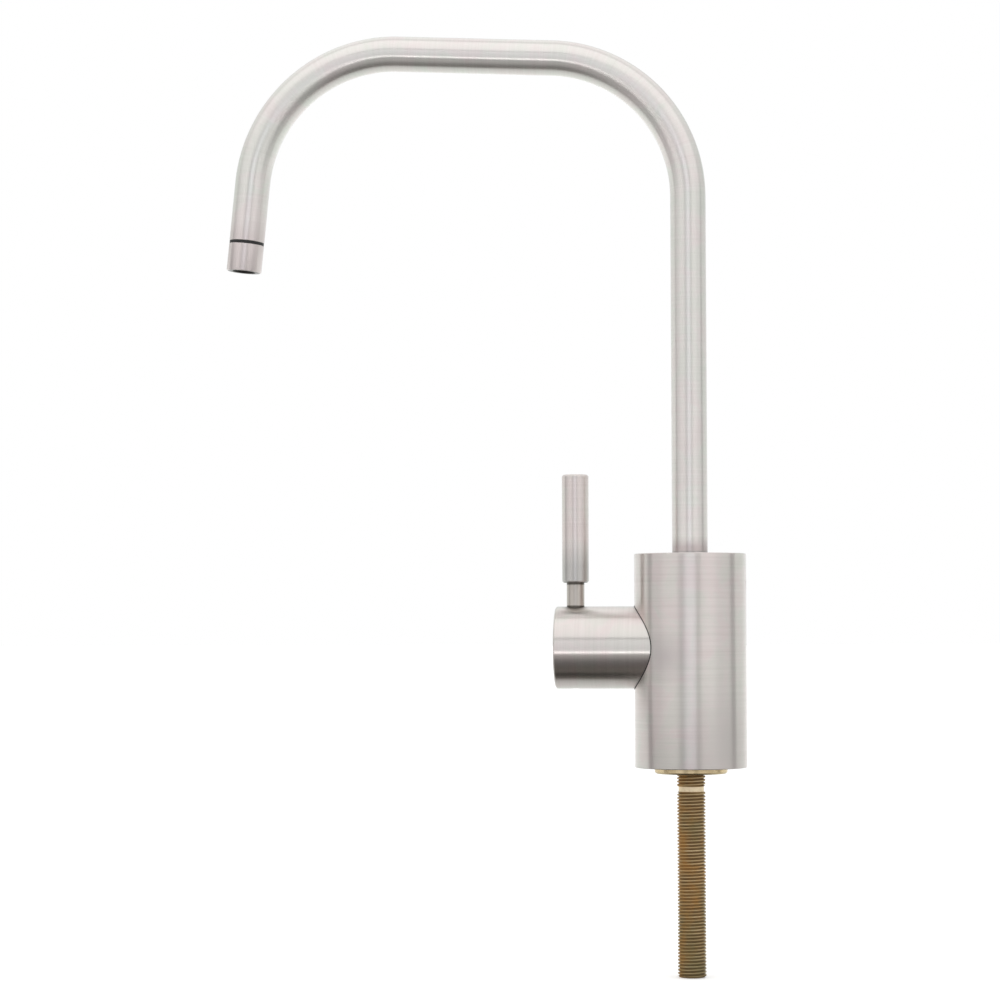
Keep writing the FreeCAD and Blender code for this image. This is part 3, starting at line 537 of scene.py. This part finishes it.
def turned_brass(name, light_hex, dark_hex, roughness, grain):
    """Lathe-turned brass: rings round the vertical axis and cloudy tarnish."""
    material, tree = start_material(name)
    place = add(tree, "ShaderNodeTexCoord").outputs["Object"]
    tangent = add(tree, "ShaderNodeTangent", {"direction_type": "RADIAL", "axis": "Z"})
    distance, parts = from_axis(tree, place)
    across = add(tree, "ShaderNodeMath", {"operation": "ADD"},
                 links={0: distance, 1: parts.outputs["Z"]})
    fine = add(tree, "ShaderNodeMath", {"operation": "MULTIPLY"}, {1: 1 / TURNING_PITCH},
               {0: across.outputs[0]})
    rings = add(tree, "ShaderNodeTexNoise", {"noise_dimensions": "1D"},
                {"Scale": 1.0, "Detail": 3.0, "Roughness": 0.6}, {"W": fine.outputs[0]})
    cloud = add(tree, "ShaderNodeTexNoise",
                values={"Scale": 1 / DULLING_SIZE, "Detail": 5.0, "Roughness": 0.6},
                links={"Vector": place})
    blend = add(tree, "ShaderNodeMath", {"operation": "MULTIPLY_ADD"}, {1: RING_SHARE},
                {0: rings.outputs["Fac"], 2: cloud.outputs["Fac"]})
    share = add(tree, "ShaderNodeMapRange",
                values={"From Min": TARNISH_RANGE[0], "From Max": TARNISH_RANGE[1]},
                links={"Value": blend.outputs[0]})
    colour = add(tree, "ShaderNodeMix", {"data_type": "RGBA"},
                 {"A": linear(light_hex), "B": linear(dark_hex)}, {"Factor": share.outputs[0]})
    rough = add(tree, "ShaderNodeMapRange",
                values={"To Min": roughness + BRASS_SPREAD[0], "To Max": roughness + BRASS_SPREAD[1]},
                links={"Value": share.outputs[0]})
    relief = add(tree, "ShaderNodeBump", values={"Strength": TURNING_BUMP, "Distance": TURNING_DEPTH},
                 links={"Height": rings.outputs["Fac"]})
    one_sided_metal(tree, colour, rough, relief, tangent, grain)
    return material


finishes["bright_brass"] = turned_brass("turned_bright_brass", "#E8D4B0", "#D4BC90", 0.24, 0.2)
finishes["machined_brass"] = turned_brass("turned_yellow_brass", "#E6C57C", "#C9A45C", 0.30, 0.5)
print("finishes so far:", len(finishes))

# %% The thread from root to crest
THREAD_PITCH = 0.00127
CREST_R = 0.0055
ROOT_R = CREST_R - 0.5413 * THREAD_PITCH    # the depth that a 60 degree thread has
THREAD_TONES = ((0.0, "#8E7553"), (0.5, "#A7885E"), (0.82, "#B89D72"), (1.0, "#D0B88D"))
RUBS_PER_PITCH = 0.8
RUBBED_RANGE, RUBBING = (0.35, 0.75), (0.72, 1.25)


def rubbed_thread(tree, distance, height):
    """A colour that is dark in the roots and light on the crests, more so on some turns."""
    crest = add(tree, "ShaderNodeMapRange", values={"From Min": ROOT_R, "From Max": CREST_R},
                links={"Value": distance})
    along = add(tree, "ShaderNodeMath", {"operation": "MULTIPLY"}, {1: RUBS_PER_PITCH / THREAD_PITCH},
                {0: height})
    turns = add(tree, "ShaderNodeTexNoise", {"noise_dimensions": "1D"},
                {"Scale": 1.0, "Detail": 2.0, "Roughness": 0.7}, {"W": along.outputs[0]})
    rubbed = add(tree, "ShaderNodeMapRange",
                 values={"From Min": RUBBED_RANGE[0], "From Max": RUBBED_RANGE[1],
                         "To Min": RUBBING[0], "To Max": RUBBING[1]},
                 links={"Value": turns.outputs["Fac"]})
    lit = add(tree, "ShaderNodeMath", {"operation": "MULTIPLY"},
              links={0: crest.outputs[0], 1: rubbed.outputs[0]})
    return add(tree, "ShaderNodeValToRGB", links={0: lit.outputs[0]},
               stops=[(share, linear(tone)) for share, tone in THREAD_TONES]).outputs["Color"]


print("thread root radius", round(ROOT_R * 1000, 3), "mm")

# %% Tarnished thread finish
GROOVE = (-0.0070, -0.0050)
GROOVE_BLUR = 0.0001
ORANGE, OLIVE, CLEAN = "#C2965A", "#8A8A66", "#FFEAC6"
ORANGE_AT, ORANGE_REACH, ORANGE_FADE = -0.036, 0.018, 0.008
ORANGE_SIZE, OLIVE_SIZE, PITTING_SIZE = 0.0083, 0.0133, 0.0007
ORANGE_RANGE, OLIVE_RANGE = (0.50, 0.70), (0.44, 0.64)
ORANGE_MOST, OLIVE_MOST = 0.85, 0.5
MIDDLE_PULL, SIDE_PULL = 0.10, 0.10      # what the middle and the left side add to the orange
OLIVE_OFFSET = (0.31, 0.17, 0.05)        # so that olive and orange patches lie apart
PATCH_RANGE, PATCH_ROUGHNESS = (0.35, 0.70), (0.34, 0.58)
PITTING_DEPTH, PITTING_BUMP = 0.00005, 0.3
BARE_METAL = 0.65        # the rest is tarnish


def tarnished_brass(name):
    """Old threaded brass: dark in the roots, rubbed on the crests, with orange and olive patches."""
    material, tree = start_material(name)
    place = add(tree, "ShaderNodeTexCoord").outputs["Object"]
    distance, parts = from_axis(tree, place)
    colour = rubbed_thread(tree, distance, parts.outputs["Z"])
    patch = add(tree, "ShaderNodeTexNoise",
                values={"Scale": 1 / ORANGE_SIZE, "Detail": 6.0, "Roughness": 0.62},
                links={"Vector": place})
    middle = by_distance(tree, parts.outputs["Z"], ORANGE_AT, ORANGE_REACH + ORANGE_FADE,
                         ORANGE_REACH - ORANGE_FADE, "SMOOTHSTEP")
    leftwards = add(tree, "ShaderNodeMath", {"operation": "MULTIPLY"}, {1: -SIDE_PULL / CREST_R},
                    {0: parts.outputs["X"]})
    favoured = add(tree, "ShaderNodeMath", {"operation": "MULTIPLY_ADD"}, {1: MIDDLE_PULL},
                   {0: middle, 2: leftwards.outputs[0]})
    patchy = add(tree, "ShaderNodeMath", {"operation": "ADD"},
                 links={0: patch.outputs["Fac"], 1: favoured.outputs[0]})
    orange = add(tree, "ShaderNodeMapRange",
                 values={"From Min": ORANGE_RANGE[0], "From Max": ORANGE_RANGE[1],
                         "To Max": ORANGE_MOST},
                 links={"Value": patchy.outputs[0]})
    elsewhere = add(tree, "ShaderNodeMapping", values={"Location": OLIVE_OFFSET},
                    links={"Vector": place})
    patina = add(tree, "ShaderNodeTexNoise",
                 values={"Scale": 1 / OLIVE_SIZE, "Detail": 6.0, "Roughness": 0.6},
                 links={"Vector": elsewhere.outputs[0]})
    mossy = add(tree, "ShaderNodeMath", {"operation": "MULTIPLY_ADD"}, {1: -MIDDLE_PULL},
                {0: middle, 2: patina.outputs["Fac"]})
    olive = add(tree, "ShaderNodeMapRange",
                values={"From Min": OLIVE_RANGE[0], "From Max": OLIVE_RANGE[1], "To Max": OLIVE_MOST},
                links={"Value": mossy.outputs[0]})
    half = (GROOVE[1] - GROOVE[0]) / 2
    clean = by_distance(tree, parts.outputs["Z"], sum(GROOVE) / 2, half + GROOVE_BLUR,
                        half - GROOVE_BLUR)
    for share, tone in ((orange.outputs[0], ORANGE), (olive.outputs[0], OLIVE), (clean, CLEAN)):
        colour = add(tree, "ShaderNodeMix", {"data_type": "RGBA"}, {"B": linear(tone)},
                     {"Factor": share, "A": colour}).outputs["Result"]
    rough = add(tree, "ShaderNodeMapRange",
                values={"From Min": PATCH_RANGE[0], "From Max": PATCH_RANGE[1],
                        "To Min": PATCH_ROUGHNESS[0], "To Max": PATCH_ROUGHNESS[1]},
                links={"Value": patch.outputs["Fac"]})
    grain = add(tree, "ShaderNodeTexNoise", values={"Scale": 1 / PITTING_SIZE, "Detail": 4.0},
                links={"Vector": place})
    relief = add(tree, "ShaderNodeBump", values={"Strength": PITTING_BUMP, "Distance": PITTING_DEPTH},
                 links={"Height": grain.outputs["Fac"]})
    metal = add(tree, "ShaderNodeBsdfPrincipled", values={"Metallic": BARE_METAL},
                links={"Base Color": colour, "Roughness": rough.outputs[0],
                       "Normal": relief.outputs[0]})
    add(tree, "ShaderNodeOutputMaterial", links={"Surface": metal.outputs[0]})
    return material


finishes["dull_brass"] = tarnished_brass("tarnished_threaded_brass")
print("orange tarnish", round(-ORANGE_AT * 1000), "mm below the flange")

# %% [markdown]
# ## Rubber, plastic, ceramic and dark steel
# The seals are nitrile rubber, pressed in a mould with a matt skin. The guide rings and
# washers are acetal, a milky plastic that slides well and lets a little light in. The valve's
# discs are fired alumina, lapped so flat that they cling together. The screws and the clip
# are blackened in hot oil, and the outlet's screen is woven wire. These differ mostly in
# colour, roughness and the size of their grain, so one function makes them all, with a grain
# noise for the relief and a slower noise for the shade.

# %% Moulded, fired and blackened finishes
MOTTLE_SIZE = 0.0045
GRAIN_BUMP = 0.4
GRAINED_SPREAD = (-0.04, 0.06)   # of the roughness, from the light places to the dark


def grained(name, light_hex, dark_hex, roughness, grain_size, relief_depth, extra):
    """A cloudy colour with a fine grain, plus the shader values that the stuff is known for."""
    material, tree = start_material(name)
    place = add(tree, "ShaderNodeTexCoord").outputs["Object"]
    cloud = add(tree, "ShaderNodeTexNoise", values={"Scale": 1 / MOTTLE_SIZE, "Detail": 4.0},
                links={"Vector": place})
    share = add(tree, "ShaderNodeMapRange",
                values={"From Min": NOISE_MOSTLY[0], "From Max": NOISE_MOSTLY[1]},
                links={"Value": cloud.outputs["Fac"]})
    colour = add(tree, "ShaderNodeMix", {"data_type": "RGBA"},
                 {"A": linear(light_hex), "B": linear(dark_hex)}, {"Factor": share.outputs[0]})
    rough = add(tree, "ShaderNodeMapRange",
                values={"To Min": roughness + GRAINED_SPREAD[0], "To Max": roughness + GRAINED_SPREAD[1]},
                links={"Value": share.outputs[0]})
    grain = add(tree, "ShaderNodeTexNoise", values={"Scale": 1 / grain_size, "Detail": 3.0},
                links={"Vector": place})
    relief = add(tree, "ShaderNodeBump", values={"Strength": GRAIN_BUMP, "Distance": relief_depth},
                 links={"Height": grain.outputs["Fac"]})
    stuff = add(tree, "ShaderNodeBsdfPrincipled", values=extra,
                links={"Base Color": colour.outputs["Result"], "Roughness": rough.outputs[0],
                       "Normal": relief.outputs[0]})
    add(tree, "ShaderNodeOutputMaterial", links={"Surface": stuff.outputs[0]})
    return material


finishes["black_rubber"] = grained(
    "moulded_nitrile_rubber", "#262524", "#1B1A1A", 0.55, 0.00030, 0.00003, {"IOR": 1.52})
finishes["white_acetal"] = grained(
    "turned_acetal", "#E9E8E2", "#DEDCD4", 0.36, 0.00040, 0.00002,
    {"IOR": 1.48, "Subsurface Weight": 0.15, "Subsurface Radius": (0.001, 0.001, 0.0008)})
finishes["white_ceramic"] = grained(
    "lapped_alumina_ceramic", "#F2EFE6", "#E9E5DA", 0.12, 0.00015, 0.000005, {"IOR": 1.76})
finishes["dark_screw_steel"] = grained(
    "oil_blackened_steel", "#4A4846", "#343230", 0.34, 0.00020, 0.00002, {"Metallic": 1.0})
finishes["steel_mesh"] = grained(
    "woven_stainless_wire", "#C9C5C0", "#AFAAA4", 0.30, 0.00020, 0.00002, {"Metallic": 1.0})
print("finishes so far:", len(finishes))

# %% [markdown]
# ## Surfaces carried along the spout
# The tube was drawn straight and bent twice over one die. A curve with a round bevel gives
# such a tube, but its brushed finish needs two things that a curve doesn't hand over: the
# direction round the tube, as a map for the tangent, and each point's place on the tube
# before it was bent, so the scratches keep their spacing in the bends. A profile of distance
# along the spout and radius, carried along the centreline, gives all of it as arrays.

# %% The spout's centreline
TUBE_FOOT = 0.0755
RISER_TOP = 0.2245
BEND_R = 0.0560
BEND_TURN = math.radians(87.15)
CROWN_L = 0.0610
LEG_L = 0.0234
BEYOND = 1.0             # the first and the last run go on past the ends of the tube
SECTIONS = ((RISER_TOP - TUBE_FOOT, 0.0), (BEND_R * BEND_TURN, 1 / BEND_R), (CROWN_L, 0.0),
            (BEND_R * BEND_TURN, 1 / BEND_R), (BEYOND, 0.0))
TUBE_L = sum(length for length, _ in SECTIONS[:-1]) + LEG_L


def along_spout(distance):
    """Centre and outward direction of the spout at arrays of distance from the tube's foot.

    The heading starts straight up and grows by distance over bend radius in a bend. A straight
    run adds its length times the heading, and a bend adds its radius times the change of the
    heading's sine and cosine.
    """
    heading = np.full_like(distance, math.pi / 2)
    x = np.zeros_like(distance)
    z = np.full_like(distance, TUBE_FOOT)
    at = 0.0
    for length, bend in SECTIONS:
        part = np.clip(distance - at, 0.0 if at else -BEYOND, length)
        turned = heading + part * bend
        if bend:
            x += (np.sin(turned) - np.sin(heading)) / bend
            z -= (np.cos(turned) - np.cos(heading)) / bend
        else:
            x += part * np.cos(heading)
            z += part * np.sin(heading)
        heading = turned
        at += length
    centre = np.stack([x, np.zeros_like(x), z], axis=-1)
    outward = np.stack([np.sin(heading), np.zeros_like(x), -np.cos(heading)], axis=-1)
    return centre, outward


print("the tube ends at", np.round(along_spout(np.array([TUBE_L]))[0][0] * 1000, 2), "mm")

# %% [markdown]
# ## The tube's own finish
# The tube and its sleeve are the same steel with a satin brushing. Its foot has painted shade
# and some dirt above the body's top, with a line of painted shade at the joint, the outlet end
# is darker, and the bore is painted dark as shade. Colours painted on the mesh could show that,
# but only as finely as its points lie. Marks by place on the straightened tube have no such limit.

# %% Tube finish
TUBE_TONES = ("#F0ECE9", "#E7E3DF")
JOINT_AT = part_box("body_shell")[1][2] - TUBE_FOOT
# painted shade, with some dirt, on the tube's foot just above the body's top
TUBE_FOOT_SHADE_AND_DIRT = ((0.0, 0.0, 1.0), (0.0, 0.0, JOINT_AT - 0.0032), 0.0100, 0.0042, "#D0C6C5")
# painted shade: a dark line where the tube enters the body's top
JOINT_SHADE_LINE = ((0.0, 0.0, 1.0), (0.0, 0.0, JOINT_AT - 0.0003), 0.0016, 0.0006, "#BFBAB9")
# the tube's last stretch and the sleeve are darker in colour
DARKER_OUTLET = ((0.0, 0.0, 1.0), (0.0, 0.0, TUBE_L + 0.0060), 0.0150, 0.0070, "#E2D8D6")
# painted shade: dark colour inside the bore and the outlet's mouth
BORE_SHADE = ((1.0, 1.0, 0.0), (0.0, 0.0, 0.0), 0.0064, HARD_EDGE, "#4E4C49")

finishes["brushed_tube"] = brushed_steel(
    "satin_brushed_stainless_tube", "Z", TUBE_TONES, ROD_BLUR, ROD_GRAIN,
    [TUBE_FOOT_SHADE_AND_DIRT, JOINT_SHADE_LINE, DARKER_OUTLET, BORE_SHADE], "straightened")
print("the joint is", round(JOINT_AT * 1000, 2), "mm up the tube")

# %% [markdown]
# ## From arrays to pieces
# A grid of points whose rows and columns both wrap round is closed by itself, like a ring, and
# needs no caps. One function makes a piece from any such grid: the tube, the sleeve, the
# thread and the seam. Another carries a profile along the spout and hands it the grid.


# %% From a grid of points to a piece
def closed_piece(name, points, straightened, body, slot, smooth_below):
    """A ring-shaped piece from a grid of points. Rows go round its section, columns round its axis.

    Each face joins a point with its neighbours, and both directions wrap, so the surface is
    closed. The map "around" has the share of a turn and the row, and the attribute
    "straightened" has each point's place on the straight piece.
    """
    rows, columns = points.shape[:2]
    index = np.arange(rows * columns).reshape(rows, columns)
    right, below = np.roll(index, -1, axis=1), np.roll(index, -1, axis=0)
    faces = np.stack([index, right, np.roll(right, -1, axis=0), below], axis=-1).reshape(-1, 4)
    mesh = bpy.data.meshes.new(name)
    mesh.from_pydata(points.reshape(-1, 3), [], faces)
    mesh.shade_smooth()
    mesh.set_sharp_from_angle(angle=math.radians(smooth_below))
    turn = np.broadcast_to((np.arange(columns) / columns)[None, :], (rows, columns))
    step = np.broadcast_to((np.arange(rows) / rows)[:, None], (rows, columns))
    low = np.stack([turn, step], axis=-1)
    across, down = np.array([1 / columns, 0.0]), np.array([0.0, 1 / rows])
    corners = np.stack([low, low + across, low + across + down, low + down], axis=2)
    mesh.uv_layers.new(name="around").data.foreach_set("uv", corners.astype(np.float32).ravel())
    held = mesh.attributes.new("straightened", "FLOAT_VECTOR", "POINT")
    held.data.foreach_set("vector", straightened.astype(np.float32).ravel())
    mesh.materials.append(finishes[slot])
    piece = bpy.data.objects.new(name, mesh)
    bpy.context.collection.objects.link(piece)
    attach(piece, body)
    print(name, "has", 2 * len(faces), "triangles")
    return piece


# %% From a profile to a piece of the spout
SPOUT_COLUMNS = 96
SPOUT_SMOOTH = 35        # degrees between faces, under which the edge is shaded smooth


def spout_piece(name, profile):
    """Carries a closed profile of (distance, radius) along the spout.

    A point is the centre at its distance, plus its radius times the cosine of its turn in the
    outward direction and the sine along +Y.
    """
    distance, radius = (np.array(v) for v in zip(*profile))
    centre, outward = along_spout(distance)
    turn = np.arange(SPOUT_COLUMNS) * 2 * math.pi / SPOUT_COLUMNS
    cosine, sine = np.cos(turn)[None, :, None], np.sin(turn)[None, :, None]
    sideways = np.array([0.0, 1.0, 0.0])
    spoke = cosine * outward[:, None, :] + sine * sideways
    points = centre[:, None, :] + radius[:, None, None] * spoke
    spread = radius[:, None] * np.stack([cosine[..., 0], sine[..., 0]])
    height = np.broadcast_to(distance[:, None], spread[0].shape)
    straightened = np.stack([spread[0], spread[1], height], axis=-1)
    return closed_piece(name, points, straightened, "spout", "brushed_tube", SPOUT_SMOOTH)


print("a ring of the spout has", SPOUT_COLUMNS, "points")

# %% Bent tube
TUBE_R = 0.0069
TUBE_BORE_R = 0.0059
TUBE_EDGE = 0.00015
STATION = 0.0012

stations = np.arange(TUBE_EDGE, TUBE_L - TUBE_EDGE, STATION)
outer = [(s, TUBE_R) for s in stations] + [(TUBE_L - TUBE_EDGE, TUBE_R), (TUBE_L, TUBE_R - TUBE_EDGE)]
inner = [(TUBE_L, TUBE_BORE_R)] + [(s, TUBE_BORE_R) for s in stations[::-1]] + [(0.0, TUBE_BORE_R)]
tube = spout_piece("bent_spout_tube", outer + inner + [(0.0, TUBE_R - TUBE_EDGE)])
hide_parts("spout_tube")

# %% Outlet sleeve
GASKET_T, TIP_L = 0.0012, 0.0108
SHOULDER_EDGE, TIP_EDGE, MOUTH_EDGE = 0.0001, 0.00035, 0.0002
ROUNDED = 0.3            # share of the tip's edge that a round corner takes off at its middle
MOUTH_R, SEAT_R, NIPPLE_R, NIPPLE_L = 0.00445, 0.0048, 0.00585, 0.0070

sleeve_end = GASKET_T + TIP_L
sleeve_profile = [
    (GASKET_T, NIPPLE_R), (GASKET_T, TUBE_R - SHOULDER_EDGE), (GASKET_T + SHOULDER_EDGE, TUBE_R),
    (sleeve_end - TIP_EDGE, TUBE_R), (sleeve_end - ROUNDED * TIP_EDGE, TUBE_R - ROUNDED * TIP_EDGE),
    (sleeve_end, TUBE_R - TIP_EDGE), (sleeve_end, MOUTH_R + MOUTH_EDGE),
    (sleeve_end - MOUTH_EDGE, MOUTH_R), (0.0, MOUTH_R), (0.0, SEAT_R), (-NIPPLE_L, SEAT_R),
    (-NIPPLE_L, NIPPLE_R)]
sleeve = spout_piece("outlet_sleeve", [(TUBE_L + s, r) for s, r in sleeve_profile])
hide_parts("tip_sleeve")

# %% [markdown]
# ## The thread
# The shank carries a fine 60 degree thread, 1.27 mm from crest to crest, with a plain groove
# after the first turns. A screw modifier could wind one profile up the shank, but its ends
# would hang open. Here the radius itself is a function of the turn and the height: the
# height in pitches less the share of a turn says where in the thread a point lies, so the
# crest climbs as the angle goes round. The groove, the cone ends and the run-out are limits
# on that radius, and the bore closes the surface.

# %% The shank's radius
STUB_R = 0.0052
GROOVE_R = 0.0049
END_BEVEL = 0.0006
CREST_W, ROOT_W = 0.34, 0.16     # flat parts of a pitch
GROOVE_RUN_OUT, TOP_RUN_OUT = 0.0006, 0.0004     # where the thread grows shallow
GROOVE_SLOPE, STUB_SLOPE = 0.0002, 0.0003        # height of the steps down to groove and stub


def thread_share(pitches):
    """How far a point stands out of the root, 0 to 1: flat crest, straight flanks, flat root."""
    from_crest = np.abs((pitches + 0.5) % 1.0 - 0.5)
    down = (from_crest - CREST_W / 2) / (0.5 - CREST_W / 2 - ROOT_W / 2)
    return 1.0 - np.clip(down, 0.0, 1.0)


def shank_radius(height, turn):
    """Crest radius less the thread's depth where it is cut, under the limits of groove and ends."""
    low, high = GROOVE
    cut = np.interp(height,
                    [low - GROOVE_RUN_OUT, low, high, high + GROOVE_RUN_OUT, -TOP_RUN_OUT, 0.0],
                    [1.0, 0.0, 0.0, 1.0, 1.0, 0.0])
    share = thread_share(height / THREAD_PITCH - turn / (2 * math.pi))
    thread = CREST_R - (CREST_R - ROOT_R) * (1.0 - share) * cut
    limit = np.interp(height,
                      [SHANK_END, SHANK_END + END_BEVEL, low - GROOVE_SLOPE, low, high,
                       high + GROOVE_SLOPE, 0.0, STUB_SLOPE],
                      [CREST_R - END_BEVEL, CREST_R, CREST_R, GROOVE_R, GROOVE_R,
                       CREST_R, CREST_R, STUB_R])
    return np.minimum(thread, limit)


print("radius in the groove", np.round(shank_radius(sum(GROOVE) / 2, 0.0) * 1000, 2), "mm")

# %% Threaded shank
SHANK_BORE_R = 0.0032
STUB_TOP, STUB_MIDDLE, BORE_MIDDLE = 0.0123, 0.0060, -0.030
ROWS_PER_PITCH = 16
ROWS_END = 0.0004        # above this the stub is plain
SHANK_COLUMNS = 64
SHANK_SMOOTH = 80

heights = np.append(np.arange(SHANK_END, ROWS_END, THREAD_PITCH / ROWS_PER_PITCH),
                    [STUB_MIDDLE, STUB_TOP])
turn = np.arange(SHANK_COLUMNS) * 2 * math.pi / SHANK_COLUMNS
outside = shank_radius(heights[:, None], turn[None, :])
bore_heights = np.array([STUB_TOP, BORE_MIDDLE, SHANK_END])
bore = np.full((len(bore_heights), SHANK_COLUMNS), SHANK_BORE_R)
radii = np.vstack([outside, bore])
all_heights = np.append(heights, bore_heights)
shank_points = np.stack([radii * np.cos(turn), radii * np.sin(turn),
                         np.broadcast_to(all_heights[:, None], radii.shape)], axis=-1)
shank = closed_piece("threaded_brass_shank", shank_points, shank_points, "body", "dull_brass",
                     SHANK_SMOOTH)
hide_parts("threaded_shank")

# %% [markdown]
# ## The dark seam round the barrel
# The barrel turns in the side hole of the body, and a thin dark line follows the whole curve
# where the two cylinders meet. The shade in the gap rendered too light from the front, so a
# lip of black rubber fills the gap here: a dark piece that stands in for that shade. It may be
# shade in the gap or the lip of a soft liner. A loop could be cut from one cylinder with the
# other. A ring whose distance along the barrel is a function of its turn is simpler: at every
# turn the lip ends at the body's round wall, or a hair past it.

# %% Seam liner
BODY_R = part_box("body_shell")[1][0]
BARREL_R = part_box("handle_hub")[1][1]
BARREL_Z = (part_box("handle_hub")[0][2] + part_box("handle_hub")[1][2]) / 2
# the liner is the black lip, a dark piece that stands in for the shade in the seam
SHADE_LIP_GAP, SIDE_GAP = 0.00008, 0.00040   # from the barrel to the liner, and to the side hole
SHADE_LIP_PROUD, SHADE_LIP_DEEP, SHADE_LIP_EDGE = 0.00012, 0.0015, 0.00006
SHADE_LIP_COLUMNS = 160
SHADE_LIP_SMOOTH = 50

inner_r, outer_r = BARREL_R + SHADE_LIP_GAP, BARREL_R + SIDE_GAP
shade_lip_section = ((outer_r, -SHADE_LIP_DEEP), (outer_r, SHADE_LIP_PROUD - SHADE_LIP_EDGE),
                 (outer_r - SHADE_LIP_EDGE, SHADE_LIP_PROUD), (inner_r + SHADE_LIP_EDGE, SHADE_LIP_PROUD),
                 (inner_r, SHADE_LIP_PROUD - SHADE_LIP_EDGE), (inner_r, -SHADE_LIP_DEEP))


def seam_points(section, columns):
    """Rings round the barrel's axis. Each stands its own distance off the body's wall.

    The wall is met at the square root of the body's radius squared less the square of the
    point's distance from the middle plane, which is its radius times the sine of its turn.
    """
    radius, proud = (np.array(v)[:, None] for v in zip(*section))
    turn = (np.arange(columns) * 2 * math.pi / columns)[None, :]
    sideways = radius * np.sin(turn)
    outwards = np.sqrt(BODY_R ** 2 - sideways ** 2) + proud
    return np.stack([-outwards, sideways, BARREL_Z + radius * np.cos(turn)], axis=-1)


shade_lip_points = seam_points(shade_lip_section, SHADE_LIP_COLUMNS)
# painted shade: a black lip in the gap darkens the seam line round the barrel
closed_piece("barrel_seam_shade_lip", shade_lip_points, shade_lip_points, "body", "black_rubber", SHADE_LIP_SMOOTH)

# %% [markdown]
# ## Dress the CAD pieces
# Every other piece keeps the solid that was made in CAD. Each has one material slot, and the
# record says which finish goes there, so the finishes made above are handed out by name.

# %% Finishes for the CAD pieces
dressed = 0
for row in frame["record"]["subparts"]:
    node = frame["nodes"][row["node"]]
    for material_slot in node.material_slots:
        material_slot.material = finishes[row["material_slot"]]
        dressed += 1
print("dressed", dressed, "slots of", len(frame["nodes"]), "pieces")
